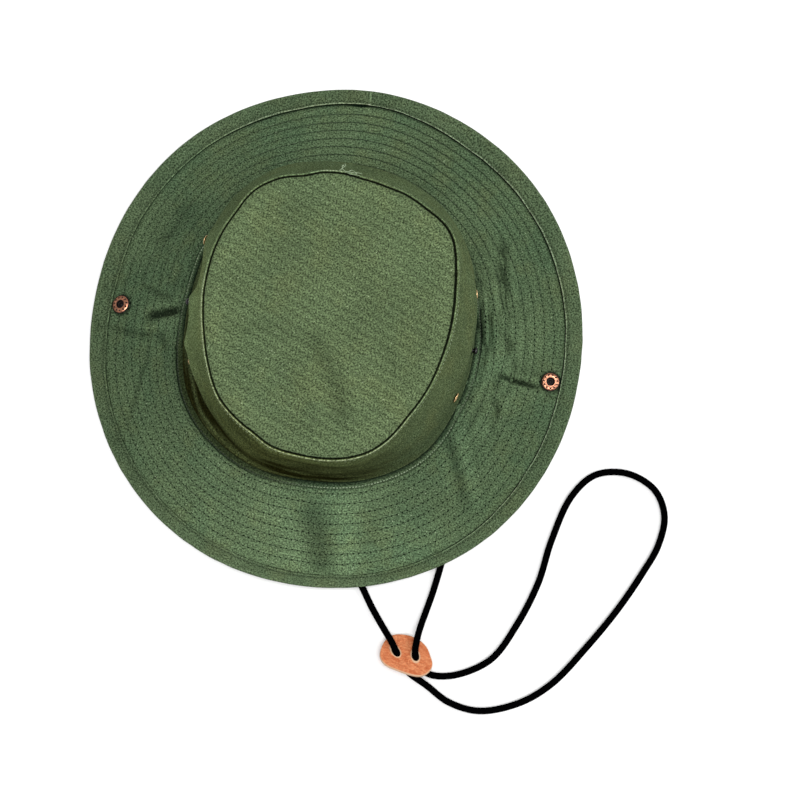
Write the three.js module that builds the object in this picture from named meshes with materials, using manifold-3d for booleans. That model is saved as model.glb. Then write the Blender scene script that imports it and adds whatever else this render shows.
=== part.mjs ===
// Bush hat of cotton cloth, lying on its brim, with a cord chin strap and a leather slider.
// Millimetres, +Z up. The front of the hat faces -Y, its right side as seen from above is +X.
// The origin lies under the middle of the hat, on the surface that the brim rests on.
import * as THREE from 'three';
import Module from 'manifold-3d';
import { mergeVertices } from 'three/addons/utils/BufferGeometryUtils.js';

const wasm = await Module();
wasm.setup();

// Driving dimensions
const CROWN_CLOTH = 1.0;
const BRIM_CLOTH = 1.4;
const TAPE_CLOTH = 1.0;
const GAP = 0.3;
const SEAM_GAP = 0.5;
const TAPE_GAP = 0.4;
const FITTING_GAP = 0.6;
const FACETS_ROUND = 72;
const BRIM_FALL = 1.2;
const TOP_MIDDLE_HEIGHT = 94.5;
const TOP_SHOULDER = 1.6;

const SNAP_RADIUS = 5.9;
const SNAP_SIDES = 12;
const EYELET_RADIUS = 3.4;
const EYELET_BORE = 1.6;
const EYELET_SIDES = 8;
const STUD_SIDES = 8;

const CORD_DIAMETER = 4;
const CORD_SIDES = 8;
const CORD_STEPS = 78;
const CORD_HOLE_CLEARANCE = 0.5;

const SLIDER_THICKNESS = 3;
const SLIDER_SIDES = 32;
const SLIDER_MIDDLE = [75.6, -183.2, 5.3];
const SLIDER_TURN = -4;
const SLIDER_TILT = 16;

// Middle of the hat's box seen from above, in the frame that the tables below use
const HAT_MIDDLE = [0, 2.6];

// The hat in sixteen upright sections, 22.5 degrees apart, from +X towards +Y. Each ring of the hat has
// its reach, the distance from the upright middle line, and its height above the surface:
// seam is where the top panel meets the wall, bulge and tuck are the wall's soft folds, base is where the
// wall meets the brim, edge is the brim's outer edge, and tape is the width of the binding on it.
const STATION_COLUMNS = [
  'seamReach', 'seamHeight', 'bulgeReach', 'bulgeHeight', 'tuckReach', 'tuckHeight',
  'baseReach', 'baseHeight', 'edgeReach', 'edgeHeight', 'tapeWidth',
];
const STATIONS = [
  [70, 88, 82, 52, 81.5, 29, 83.5, 10, 149.8, 0, 10],
  [73.4, 89, 85, 52, 84.5, 30, 84.5, 10, 151.6, 0, 10.6],
  [79, 91, 90.5, 53, 89.5, 32, 89, 12, 155, 0, 11.8],
  [77, 93, 93.5, 54, 93, 34, 92.5, 14, 157.2, 0, 12.4],
  [76.5, 94, 94.5, 54, 94.5, 34, 94, 16, 158.6, 0, 9.6],
  [77, 96, 96, 55, 95, 36, 95, 19, 157.2, 0, 10.4],
  [79.5, 96, 95, 56, 92, 40, 94, 22, 156, 0, 11],
  [75.5, 96, 89, 58, 84.5, 43, 91.5, 25, 152.6, 0, 11],
  [73, 96, 85, 60, 80, 47, 91.8, 27, 149.8, 0, 11],
  [74.8, 95, 87, 60, 81, 46, 94.2, 26, 151.2, 0, 9.2],
  [81.8, 93, 89.5, 58, 85, 42, 96.8, 23, 153, 0, 8.4],
  [87.4, 91, 94.5, 57, 89, 38, 95.3, 18, 154, 1, 8.4],
  [89.6, 90, 92.5, 56, 88.5, 35, 90.8, 14, 153.4, 3.6, 7.2],
  [87.6, 88, 90.5, 52, 89, 32, 90.6, 12, 153.8, 5.8, 6.6],
  [77.7, 88, 86.5, 50, 88, 30, 89.7, 10.5, 153.6, 4, 7.8],
  [71.2, 88, 82, 50, 83.5, 30, 85, 9.5, 151.2, 0.8, 9.4],
];

// Folds and dents of the wall: where each sits, how far it stands out (or, below zero, goes in), and how
// wide it is. Climb runs from 0 at the base to 1 at the seam.
const WALL_FOLD_COLUMNS = ['angle', 'climb', 'depth', 'halfAngle', 'halfClimb'];
const WALL_FOLDS = [
  [184, 0.66, 1.8, 6, 0.09],
  [191, 0.3, -1.6, 4, 0.16],
  [212, 0.36, -2.4, 4.5, 0.16],
  [221, 0.3, 1.6, 4, 0.14],
  [230, 0.34, -2.2, 5, 0.15],
  [243, 0.38, -1.8, 7, 0.12],
  [262, 0.36, -1.8, 12, 0.1],
  [286, 0.4, -1.4, 10, 0.1],
  [142, 0.42, -2, 8, 0.16],
  [60, 0.5, 1.2, 10, 0.2],
  [118, 0.55, 1.2, 9, 0.2],
];

// Ripples of the brim: reach is the distance from the middle line, rise is up, or down below zero.
const RIPPLE_COLUMNS = ['angle', 'reach', 'rise', 'halfAngle', 'halfReach'];
const RIPPLES = [
  [177, 108, -2.4, 7, 10],
  [190, 112, 1.4, 6, 14],
  [-3.5, 112, -1.6, 4, 15],
  [8, 104, 1, 7, 10],
  [276.5, 126, -1.8, 5, 22],
  [266, 124, 0.8, 5, 18],
  [247, 118, 1.2, 7, 18],
  [40, 128, 1.4, 9, 14],
  [56, 126, -1, 7, 14],
  [130, 124, 1.2, 9, 14],
  [222, 122, -1.2, 8, 16],
];

// Route of the cord's middle line: from the inside of the left base seam, under the brim, over and down
// through the slider, round the loose loop and back through the slider to the right base seam.
const CORD_ROUTE = [
  [-83, -6.4, 23.6], [-79, -8, 21], [-72, -11.5, 15.4], [-62, -18.5, 8.2], [-49, -30, 3.2],
  [-32, -49, 2.2], [-8, -80, 2.2], [14, -109, 2.2], [31, -132, 2.2], [43.2, -148.2, 2.2],
  [50.2, -158, 2.5], [55.6, -164.8, 4], [60.2, -170.4, 6.1], [64, -174.8, 7.5], [67, -178.6, 7.7],
  [69.4, -182.2, 6.4], [71.8, -185.8, 4.1], [75, -189.8, 2.4], [79.5, -193, 2.2],
  [90.5, -198.2, 2.2], [105, -205.6, 2.2], [123.5, -207.5, 2.2], [145.8, -199, 2.2],
  [163, -184.6, 2.2], [180.8, -158.3, 2.2], [195, -133.7, 2.2], [206, -110.2, 2.2],
  [212.8, -92, 2.2], [213.7, -73.3, 2.2], [205.4, -59, 2.2], [187.6, -52.1, 2.2], [169.1, -56.3, 2.2],
  [157, -71.6, 2.2], [149.4, -100, 2.2], [145.6, -127, 2.2], [137, -154, 2.2], [125.4, -176.4, 2.2],
  [107, -188.8, 2.2], [93, -191.6, 2.2], [86, -189.4, 2.6], [82.6, -186.2, 4.2], [81, -182.6, 6.4],
  [80.2, -178.6, 7.7], [80.2, -174.4, 7.5], [80.4, -169.4, 6.1], [81.2, -163, 4], [82.6, -155, 2.5],
  [84.8, -142, 2.2], [87, -122, 2.2], [88, -96, 2.2], [86, -66, 2.2], [80.6, -40, 2.2],
  [74.6, -22, 3.4], [73, -11, 6.6], [74.8, -3.6, 9.6], [78.4, -1.8, 11.8],
];

// Outline of the leather slider in its own plane, from its middle
const SLIDER_OUTLINE = [
  [-15.6, -2], [-14.6, 5], [-10.6, 10.2], [-3.6, 12.3], [4, 11.6], [10.3, 8.1], [14, 3],
  [16.4, -2], [15.2, -6.8], [11.2, -10.3], [5, -11.1], [-3, -10.4], [-10, -9.1], [-14, -6.3],
];

const rad = THREE.MathUtils.degToRad;

// A column of the station table as one smooth closed curve round the hat.
function around(column, degrees) {
  const index = STATION_COLUMNS.indexOf(column);
  const count = STATIONS.length;
  const place = ((degrees / 360) * count) % count + count;
  const before = Math.floor(place);
  const t = place - before;
  const [a, b, c, d] = [-1, 0, 1, 2].map((step) => STATIONS[(before + step) % count][index]);
  const bend = 2 * a - 5 * b + 4 * c - d;
  const twist = 3 * b - a - 3 * c + d;
  return 0.5 * (2 * b + (c - a) * t + bend * t * t + twist * t * t * t);
}

// A round hump that is 1 at its middle and fades out past its half width.
function hump(distance, halfWidth) {
  return Math.exp(-((distance / halfWidth) ** 2));
}

function turnBetween(a, b) {
  return ((((a - b + 180) % 360) + 360) % 360) - 180;
}

function sumOfHumps(rows, columns, degrees, along) {
  return rows.reduce((sum, row) => {
    const [angle, place, size, halfAngle, halfPlace] = columns.map((name, k) => row[k]);
    return sum + size * hump(turnBetween(degrees, angle), halfAngle) * hump(along - place, halfPlace);
  }, 0);
}

// Middle line of the crown's wall, from the base at climb 0 to the seam at climb 1.
function wallPoint(degrees, climb) {
  const rings = ['base', 'tuck', 'bulge', 'seam'].map(
    (ring) => new THREE.Vector2(around(`${ring}Reach`, degrees), around(`${ring}Height`, degrees)),
  );
  const point = new THREE.SplineCurve(rings).getPoint(climb);
  point.x += sumOfHumps(WALL_FOLDS, WALL_FOLD_COLUMNS, degrees, climb);
  return point;
}

// Height of the brim's middle line above the foot of the tape.
const TAPE_BED = TAPE_CLOTH + TAPE_GAP + BRIM_CLOTH / 2;

// The surface bears the brim's edge, so nothing of it goes lower.
function edgeFoot(degrees) {
  return Math.max(0, around('edgeHeight', degrees));
}

function tapeLine(degrees) {
  return around('edgeReach', degrees) - around('tapeWidth', degrees);
}

// Middle line of the brim, from the base at share 0 to the tape's inner line at share 1.
function brimPoint(degrees, share) {
  const reach = THREE.MathUtils.lerp(around('baseReach', degrees), tapeLine(degrees), share);
  const edge = edgeFoot(degrees) + TAPE_BED;
  const fall = (around('baseHeight', degrees) - edge) * (1 - share) ** BRIM_FALL;
  const fade = 4 * share * (1 - share);
  return new THREE.Vector2(reach, edge + fall + fade * sumOfHumps(RIPPLES, RIPPLE_COLUMNS, degrees, reach));
}

// Offsets a line in the reach and height plane to its left by the given distance.
function offsetLine(line, distance) {
  return line.map((point, k) => {
    const ahead = line[Math.min(k + 1, line.length - 1)];
    const behind = line[Math.max(k - 1, 0)];
    const along = ahead.clone().sub(behind).normalize();
    return new THREE.Vector2(point.x - along.y * distance, point.y + along.x * distance);
  });
}

// Closed outline of a cloth whose middle line is given. The cloth's left side comes last.
function clothOutline(line, thickness) {
  return [...offsetLine(line, -thickness / 2), ...offsetLine(line, thickness / 2).reverse()];
}

function range(count, from, to) {
  return Array.from({ length: count }, (unused, k) => from + ((to - from) * k) / (count - 1));
}

// Steps of the cloths' facets: up the wall from base to seam, and out along the brim from base to tape
const WALL_CLIMBS = [0, 0.1, 0.24, 0.38, 0.5, 0.62, 0.75, 0.9, 1];
const BRIM_SHARES = [0.02, 0.24, 0.5, 0.76, 1];

// Joins one outline per station round the hat into a closed solid. Each outline runs anticlockwise in
// the reach and height plane. An outline that starts and ends on the middle line stays open there.
function loftRound(outlineAt, onAxis = false) {
  const outlines = range(FACETS_ROUND + 1, 0, 360).slice(0, -1).map((degrees) => ({
    degrees, points: outlineAt(degrees),
  }));
  const size = outlines[0].points.length;
  const positions = outlines.flatMap(({ degrees, points }) =>
    points.flatMap(({ x, y }) => [x * Math.cos(rad(degrees)), x * Math.sin(rad(degrees)), y]));
  const index = [];
  for (let j = 0; j < FACETS_ROUND; j += 1) {
    const here = j * size;
    const next = ((j + 1) % FACETS_ROUND) * size;
    for (let k = 0; k < (onAxis ? size - 1 : size); k += 1) {
      const up = (k + 1) % size;
      index.push(here + k, next + k, next + up, here + k, next + up, here + up);
    }
  }
  const geometry = new THREE.BufferGeometry();
  geometry.setAttribute('position', new THREE.Float32BufferAttribute(positions, 3));
  geometry.setIndex(index);
  return dropEmptyFaces(mergeVertices(geometry, 1e-4));
}

// Faces that have closed up to a line at the middle are left out.
function dropEmptyFaces(geometry) {
  const corners = Array.from(geometry.index.array);
  const kept = [];
  for (let k = 0; k < corners.length; k += 3) {
    const [a, b, c] = corners.slice(k, k + 3);
    if (a !== b && b !== c && c !== a) {
      kept.push(a, b, c);
    }
  }
  geometry.setIndex(kept);
  return geometry;
}

function toSolid(geometry) {
  const plain = geometry.clone();
  plain.deleteAttribute('normal');
  plain.deleteAttribute('uv');
  const merged = mergeVertices(plain, 1e-4);
  return new wasm.Manifold(new wasm.Mesh({
    numProp: 3,
    vertProperties: Float32Array.from(merged.attributes.position.array),
    triVerts: Uint32Array.from(merged.index.array),
  }));
}

function toGeometry(solid) {
  const mesh = solid.getMesh();
  const geometry = new THREE.BufferGeometry();
  geometry.setAttribute('position', new THREE.BufferAttribute(mesh.vertProperties, 3));
  geometry.setIndex(new THREE.BufferAttribute(mesh.triVerts, 1));
  return geometry;
}

function cutAway(geometry, cutters) {
  return toGeometry(cutters.reduce((solid, cutter) => solid.subtract(toSolid(cutter)), toSolid(geometry)));
}

function toSpace(degrees, point) {
  return new THREE.Vector3(
    point.x * Math.cos(rad(degrees)), point.x * Math.sin(rad(degrees)), point.y,
  );
}

// The middle of a fitting on a faceted cloth: its point there, and +Z turned to where the cloth faces.
// Side is 1 for a cloth that faces outwards as its steps climb, and -1 for one that faces up.
function placeOnFacets(pointAt, steps, degrees, along, side) {
  const turn = 360 / FACETS_ROUND;
  const from = Math.floor(degrees / turn) * turn;
  const k = steps.findLastIndex((step) => step <= along);
  const [low, high] = [steps[k], steps[k + 1]];
  const across = (degrees - from) / turn;
  const climb = (along - low) / (high - low);
  const lowEdge = [from, from + turn].map((angle) => toSpace(angle, pointAt(angle, low)));
  const highEdge = [from, from + turn].map((angle) => toSpace(angle, pointAt(angle, high)));
  const start = lowEdge[0].clone().lerp(lowEdge[1], across);
  const end = highEdge[0].clone().lerp(highEdge[1], across);
  const sideways = lowEdge[1].clone().sub(lowEdge[0]);
  const facing = sideways.cross(end.clone().sub(start)).normalize().multiplyScalar(side);
  const rotation = new THREE.Quaternion().setFromUnitVectors(new THREE.Vector3(0, 0, 1), facing);
  return new THREE.Matrix4().compose(start.lerp(end, climb), rotation, new THREE.Vector3(1, 1, 1));
}

// A turned piece: its outline holds radius and height pairs, and its axis is +Z.
function turned(outline, sides, place) {
  const points = outline.map(([radius, height]) => new THREE.Vector2(radius, height));
  return new THREE.LatheGeometry(points, sides).rotateX(Math.PI / 2).applyMatrix4(place);
}

function punch(radius, place, sides) {
  return new THREE.CylinderGeometry(radius, radius, 12, sides).rotateX(Math.PI / 2).applyMatrix4(place);
}

// Fittings: each has a place and a hole through the cloth that carries it
const FITTING_COLUMNS = ['name', 'kind', 'angle', 'along'];
const FITTINGS = [
  ['snap_left', 'snap', 181.4, 0.86],
  ['snap_right', 'snap', -2.1, 0.88],
  ['stud_left', 'stud', 181, 0.17],
  ['stud_right', 'stud', 0.6, 0.31],
  ['eyelet_left_front', 'eyelet', 207.5, 0.56],
  ['eyelet_left_back', 'eyelet', 157.5, 0.56],
  ['eyelet_right_front', 'eyelet', -21.5, 0.44],
  ['eyelet_right_back', 'eyelet', 22.6, 0.44],
].map((row) => Object.fromEntries(FITTING_COLUMNS.map((name, k) => [name, row[k]])));

const WALL_FACE = CROWN_CLOTH / 2 + FITTING_GAP;
const BRIM_FACE = BRIM_CLOTH / 2 + FITTING_GAP;

// Each kind's outline, as radius and height from the cloth's middle surface, and its hole in the cloth
const FITTING_KINDS = {
  snap: {
    sides: SNAP_SIDES,
    hole: 3.2 + GAP,
    outline: [
      [0, -1.7], [4.7, -1.7], [5, -BRIM_FACE], [3.2, -BRIM_FACE], [3.2, BRIM_FACE], [5.6, BRIM_FACE],
      [SNAP_RADIUS, 1.5], [5.2, 2.2], [3.8, 2.6], [2.3, 2.4], [2.3, -0.8], [0, -0.8],
    ],
  },
  stud: {
    sides: STUD_SIDES,
    hole: 1.5 + GAP,
    outline: [
      [0, -1.4], [2.8, -1.4], [3, -WALL_FACE], [1.5, -WALL_FACE], [1.5, WALL_FACE], [3, WALL_FACE],
      [2.6, 1.4], [1.3, 1.6], [1.2, 2.3], [2, 3], [2.1, 3.8], [1.5, 4.6], [0, 4.9],
    ],
  },
  eyelet: {
    sides: EYELET_SIDES,
    hole: 2.2 + GAP,
    outline: [
      [EYELET_BORE, -1.4], [3, -1.4], [3.2, -WALL_FACE], [2.2, -WALL_FACE], [2.2, WALL_FACE],
      [EYELET_RADIUS, WALL_FACE], [3.2, 1.3], [2.4, 1.7], [EYELET_BORE, 1.4], [EYELET_BORE, -1.4],
    ],
  },
};

function fittingPlace({ kind, angle, along }) {
  return kind === 'snap'
    ? placeOnFacets(brimPoint, BRIM_SHARES, angle, along, -1)
    : placeOnFacets(wallPoint, WALL_CLIMBS, angle, along, 1);
}

function holesFor(onBrim) {
  return FITTINGS.filter(({ kind }) => (kind === 'snap') === onBrim).map((fitting) => {
    const { hole, sides } = FITTING_KINDS[fitting.kind];
    return punch(hole, fittingPlace(fitting), sides);
  });
}

// Crown: the wall, which stands on the brim, and the top panel with its seam allowance turned down
function wallLine(degrees) {
  const line = WALL_CLIMBS.map((climb) => wallPoint(degrees, climb));
  line[0].y += BRIM_CLOTH / 2 + SEAM_GAP;
  return line;
}

function wallOutline(degrees) {
  const line = wallLine(degrees);
  const outline = clothOutline(line, CROWN_CLOTH);
  outline[0].y = line[0].y;
  outline.at(-1).y = line[0].y;
  return outline;
}

// A line inside the wall, at the given depth in a cloth that lies against it with a gap
function insideWall(degrees, depth) {
  return offsetLine(wallLine(degrees), CROWN_CLOTH / 2 + SEAM_GAP + depth);
}

const TOP_SHARES = [0, 0.5, 0.9];

function topHeight(degrees, share) {
  const rim = around('seamHeight', degrees) + TOP_SHOULDER;
  return THREE.MathUtils.lerp(TOP_MIDDLE_HEIGHT, rim, share ** 1.6);
}

function topOutline(degrees) {
  const [nearFoot, nearSeam] = insideWall(degrees, 0).slice(-2);
  const [farFoot, farSeam] = insideWall(degrees, CROWN_CLOTH).slice(-2);
  const sides = [-1, 1].map((side) => TOP_SHARES.map((share) => new THREE.Vector2(
    around('seamReach', degrees) * share,
    topHeight(degrees, share) + (side * CROWN_CLOTH) / 2,
  )));
  const shoulder = new THREE.Vector2(nearSeam.x - 0.3, nearSeam.y + 1);
  return [...sides[0], farSeam, farFoot, nearFoot, nearSeam, shoulder, ...sides[1].reverse()];
}

// Brim: from the seam allowance inside the crown, out along the slope and into the tape
function brimOutline(degrees) {
  const [nearFoot, nearTop] = insideWall(degrees, 0);
  const [farFoot, farTop] = insideWall(degrees, BRIM_CLOTH);
  const baseHeight = around('baseHeight', degrees);
  const corner = new THREE.Vector2(farFoot.x, baseHeight);
  const slope = BRIM_SHARES.map((share) => brimPoint(degrees, share));
  const rimReach = around('edgeReach', degrees) - TAPE_CLOTH - TAPE_GAP;
  const rim = new THREE.Vector2(rimReach, edgeFoot(degrees) + TAPE_BED);
  const cloth = clothOutline([corner, ...slope, rim], BRIM_CLOTH);
  cloth[cloth.length - 1] = new THREE.Vector2(nearFoot.x, baseHeight + BRIM_CLOTH / 2);
  return [farTop, ...cloth, nearTop];
}

// Binding: a tape folded round the brim's edge, flat where the hat rests
function tapeOutline(degrees) {
  const edge = around('edgeReach', degrees);
  const inner = tapeLine(degrees);
  const foot = edgeFoot(degrees);
  const depth = BRIM_CLOTH + 2 * TAPE_GAP;
  const head = foot + 2 * TAPE_CLOTH + depth;
  return [
    [inner, foot], [edge - 1, foot], [edge, foot + 1.2], [edge, head - 1.2], [edge - 1, head],
    [inner, head], [inner, head - TAPE_CLOTH],
    [edge - TAPE_CLOTH, head - TAPE_CLOTH], [edge - TAPE_CLOTH, foot + TAPE_CLOTH],
    [inner, foot + TAPE_CLOTH],
  ].map(([reach, height]) => new THREE.Vector2(reach, height));
}

// Cord: its steps follow the route's points, so they are close together where the points are
class CordRoute extends THREE.CatmullRomCurve3 {
  getPointAt(share, target) {
    return this.getPoint(share, target);
  }

  getTangentAt(share, target) {
    return this.getTangent(share, target);
  }
}

function cordTube(radius, sides, steps) {
  const route = new CordRoute(CORD_ROUTE.map((point) => new THREE.Vector3(...point)));
  const corners = range(sides + 1, 0, 2 * Math.PI).slice(0, -1);
  const section = new THREE.Shape(
    corners.map((angle) => new THREE.Vector2(radius * Math.cos(angle), radius * Math.sin(angle))),
  );
  return new THREE.ExtrudeGeometry(section, { steps, extrudePath: route });
}

// Slider: an egg of leather, tilted, that the cord goes down through twice
function sliderBody() {
  const bevel = 0.9;
  const corners = SLIDER_OUTLINE.map(([x, y]) => new THREE.Vector3(x, y, 0));
  const edge = new THREE.CatmullRomCurve3(corners, true).getSpacedPoints(SLIDER_SIDES).slice(0, -1);
  const shape = new THREE.Shape(edge.reverse().map(({ x, y }) => new THREE.Vector2(x, y)));
  const geometry = new THREE.ExtrudeGeometry(shape, {
    depth: SLIDER_THICKNESS - 2 * bevel,
    bevelThickness: bevel,
    bevelSize: bevel,
    bevelOffset: -bevel,
    bevelSegments: 1,
  });
  return geometry
    .translate(0, 0, bevel - SLIDER_THICKNESS / 2)
    .rotateX(-rad(SLIDER_TILT))
    .rotateZ(rad(SLIDER_TURN))
    .translate(...SLIDER_MIDDLE);
}

function cordSlider() {
  const bore = cordTube(CORD_DIAMETER / 2 + CORD_HOLE_CLEARANCE, CORD_SIDES + 4, CORD_STEPS * 2);
  return cutAway(sliderBody(), [bore]);
}

// Materials
const FINISHES = {
  crownCloth: { color: '#5c6e4a', roughness: 0.95, metalness: 0 },
  brimCloth: { color: '#536848', roughness: 0.95, metalness: 0 },
  tapeCloth: { color: '#546949', roughness: 0.95, metalness: 0 },
  cord: { color: '#0a0a0c', roughness: 0.9, metalness: 0 },
  leather: { color: '#d98453', roughness: 0.6, metalness: 0 },
  copper: { color: '#b06a48', roughness: 0.35, metalness: 1 },
  blackMetal: { color: '#16161a', roughness: 0.3, metalness: 1 },
};

function piece(name, geometry, finish) {
  const mesh = new THREE.Mesh(geometry, new THREE.MeshStandardMaterial(FINISHES[finish]));
  mesh.name = name;
  return mesh;
}

const crown = new THREE.Group();
crown.add(piece('crown_top', loftRound(topOutline, true), 'crownCloth'));
crown.add(piece('crown_side', cutAway(loftRound(wallOutline), holesFor(false)), 'crownCloth'));

const brim = new THREE.Group();
brim.add(piece('brim', cutAway(loftRound(brimOutline), holesFor(true)), 'brimCloth'));
brim.add(piece('brim_binding', loftRound(tapeOutline), 'tapeCloth'));

const fittings = new THREE.Group();
FITTINGS.forEach((fitting) => {
  const { outline, sides } = FITTING_KINDS[fitting.kind];
  const finish = fitting.kind === 'stud' ? 'blackMetal' : 'copper';
  fittings.add(piece(fitting.name, turned(outline, sides, fittingPlace(fitting)), finish));
});

const chinStrap = new THREE.Group();
chinStrap.add(piece('chin_cord', cordTube(CORD_DIAMETER / 2, CORD_SIDES, CORD_STEPS), 'cord'));
chinStrap.add(piece('cord_slider', cordSlider(), 'leather'));

const bushHat = new THREE.Group();
bushHat.add(crown, brim, fittings, chinStrap);
bushHat.position.set(-HAT_MIDDLE[0], -HAT_MIDDLE[1], 0);

export default bushHat;
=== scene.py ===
"""Bush hat: cloth, stitching, fittings and cord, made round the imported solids. Metres, +Z up."""
import math

import bmesh
import bpy
import numpy as np
from mathutils import Matrix, Vector


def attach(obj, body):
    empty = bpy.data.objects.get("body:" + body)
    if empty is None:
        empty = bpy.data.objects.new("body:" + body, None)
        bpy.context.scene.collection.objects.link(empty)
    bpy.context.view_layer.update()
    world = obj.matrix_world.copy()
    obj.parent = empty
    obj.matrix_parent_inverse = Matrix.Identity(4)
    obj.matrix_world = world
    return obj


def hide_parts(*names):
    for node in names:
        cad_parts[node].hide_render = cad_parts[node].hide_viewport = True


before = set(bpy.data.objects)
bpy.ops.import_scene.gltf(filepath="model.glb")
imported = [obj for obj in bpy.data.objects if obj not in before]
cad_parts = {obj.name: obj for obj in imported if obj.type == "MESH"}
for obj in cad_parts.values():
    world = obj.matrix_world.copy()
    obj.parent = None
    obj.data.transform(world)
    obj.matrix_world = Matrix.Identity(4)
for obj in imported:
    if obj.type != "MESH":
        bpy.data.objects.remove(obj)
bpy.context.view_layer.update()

MM = 0.001
HAT_MIDDLE = (0.0, 2.6)
CROWN_CLOTH = 1.0
BRIM_CLOTH = 1.4
TAPE_BED = 2.1
BRIM_FALL = 1.2
TOP_MIDDLE_HEIGHT = 94.5
TOP_SHOULDER = 1.6
CORD_DIAMETER = 4.0

# The hat in sixteen upright sections, 22.5 degrees apart, from +X towards +Y, in millimetres.
STATION_COLUMNS = [
    "seamReach", "seamHeight", "bulgeReach", "bulgeHeight", "tuckReach", "tuckHeight",
    "baseReach", "baseHeight", "edgeReach", "edgeHeight", "tapeWidth",
]
STATIONS = np.array([
    [70, 88, 82, 52, 81.5, 29, 83.5, 10, 149.8, 0, 10],
    [73.4, 89, 85, 52, 84.5, 30, 84.5, 10, 151.6, 0, 10.6],
    [79, 91, 90.5, 53, 89.5, 32, 89, 12, 155, 0, 11.8],
    [77, 93, 93.5, 54, 93, 34, 92.5, 14, 157.2, 0, 12.4],
    [76.5, 94, 94.5, 54, 94.5, 34, 94, 16, 158.6, 0, 9.6],
    [77, 96, 96, 55, 95, 36, 95, 19, 157.2, 0, 10.4],
    [79.5, 96, 95, 56, 92, 40, 94, 22, 156, 0, 11],
    [75.5, 96, 89, 58, 84.5, 43, 91.5, 25, 152.6, 0, 11],
    [73, 96, 85, 60, 80, 47, 91.8, 27, 149.8, 0, 11],
    [74.8, 95, 87, 60, 81, 46, 94.2, 26, 151.2, 0, 9.2],
    [81.8, 93, 89.5, 58, 85, 42, 96.8, 23, 153, 0, 8.4],
    [87.4, 91, 94.5, 57, 89, 38, 95.3, 18, 154, 1, 8.4],
    [89.6, 90, 92.5, 56, 88.5, 35, 90.8, 14, 153.4, 3.6, 7.2],
    [87.6, 88, 90.5, 52, 89, 32, 90.6, 12, 153.8, 5.8, 6.6],
    [77.7, 88, 86.5, 50, 88, 30, 89.7, 10.5, 153.6, 4, 7.8],
    [71.2, 88, 82, 50, 83.5, 30, 85, 9.5, 151.2, 0.8, 9.4],
])

# angle, climb, depth, half angle, half climb
WALL_FOLDS = [
    [184, 0.66, 1.8, 6, 0.09], [191, 0.3, -1.6, 4, 0.16], [212, 0.36, -2.4, 4.5, 0.16],
    [221, 0.3, 1.6, 4, 0.14], [230, 0.34, -2.2, 5, 0.15], [243, 0.38, -1.8, 7, 0.12],
    [262, 0.36, -1.8, 12, 0.1], [286, 0.4, -1.4, 10, 0.1], [142, 0.42, -2, 8, 0.16],
    [60, 0.5, 1.2, 10, 0.2], [118, 0.55, 1.2, 9, 0.2],
]

# angle, reach, rise, half angle, half reach
RIPPLES = [
    [177, 108, -2.4, 7, 10], [190, 112, 1.4, 6, 14], [-3.5, 112, -1.6, 4, 15],
    [8, 104, 1, 7, 10], [276.5, 126, -1.8, 5, 22], [266, 124, 0.8, 5, 18],
    [247, 118, 1.2, 7, 18], [40, 128, 1.4, 9, 14], [56, 126, -1, 7, 14],
    [130, 124, 1.2, 9, 14], [222, 122, -1.2, 8, 16],
]

# Where the sewn cloth departs from the sections: angle, and how far out in millimetres
SEAM_WOBBLE = [
    [1.7, 0], [17.4, -0.4], [30, 1], [38.6, 2], [44.1, 1.5], [54.3, -0.2], [66.4, 0.3], [74.1, -0.8],
    [86.4, -0.9], [95.3, 0.5], [103.8, 0.8], [111.8, -0.5], [121.4, 1.1], [133.6, 0.4], [145.5, -1.3],
    [155.4, -0.4], [170.1, 0.1], [185.7, 0.4], [206.4, -0.1], [219, -0.4], [231.1, 1], [240.1, 0.1],
    [249.8, -0.7], [257.5, 0.9], [267.6, 0.1], [277.3, 0.5], [286.9, 1.1], [294.4, 1.4], [303.2, 1.3],
    [314.7, 0.4], [329.4, 0.7], [346.8, 0.1],
]
BULGE_TRIM = [
    [140, 0], [150, -0.8], [157.5, -0.4], [163, -2.2], [168, -4], [179, -4], [181.5, -2.2], [188, -2.4],
    [194, -1.4], [200.5, 0.4], [204, 0], [210, 0], [218, -0.4], [226, 0],
]
BASE_TRIM = [[152, 0], [160, -0.3], [167, -2], [175, -3.2], [190, -3.2], [200, -2], [212, 0]]

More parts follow.
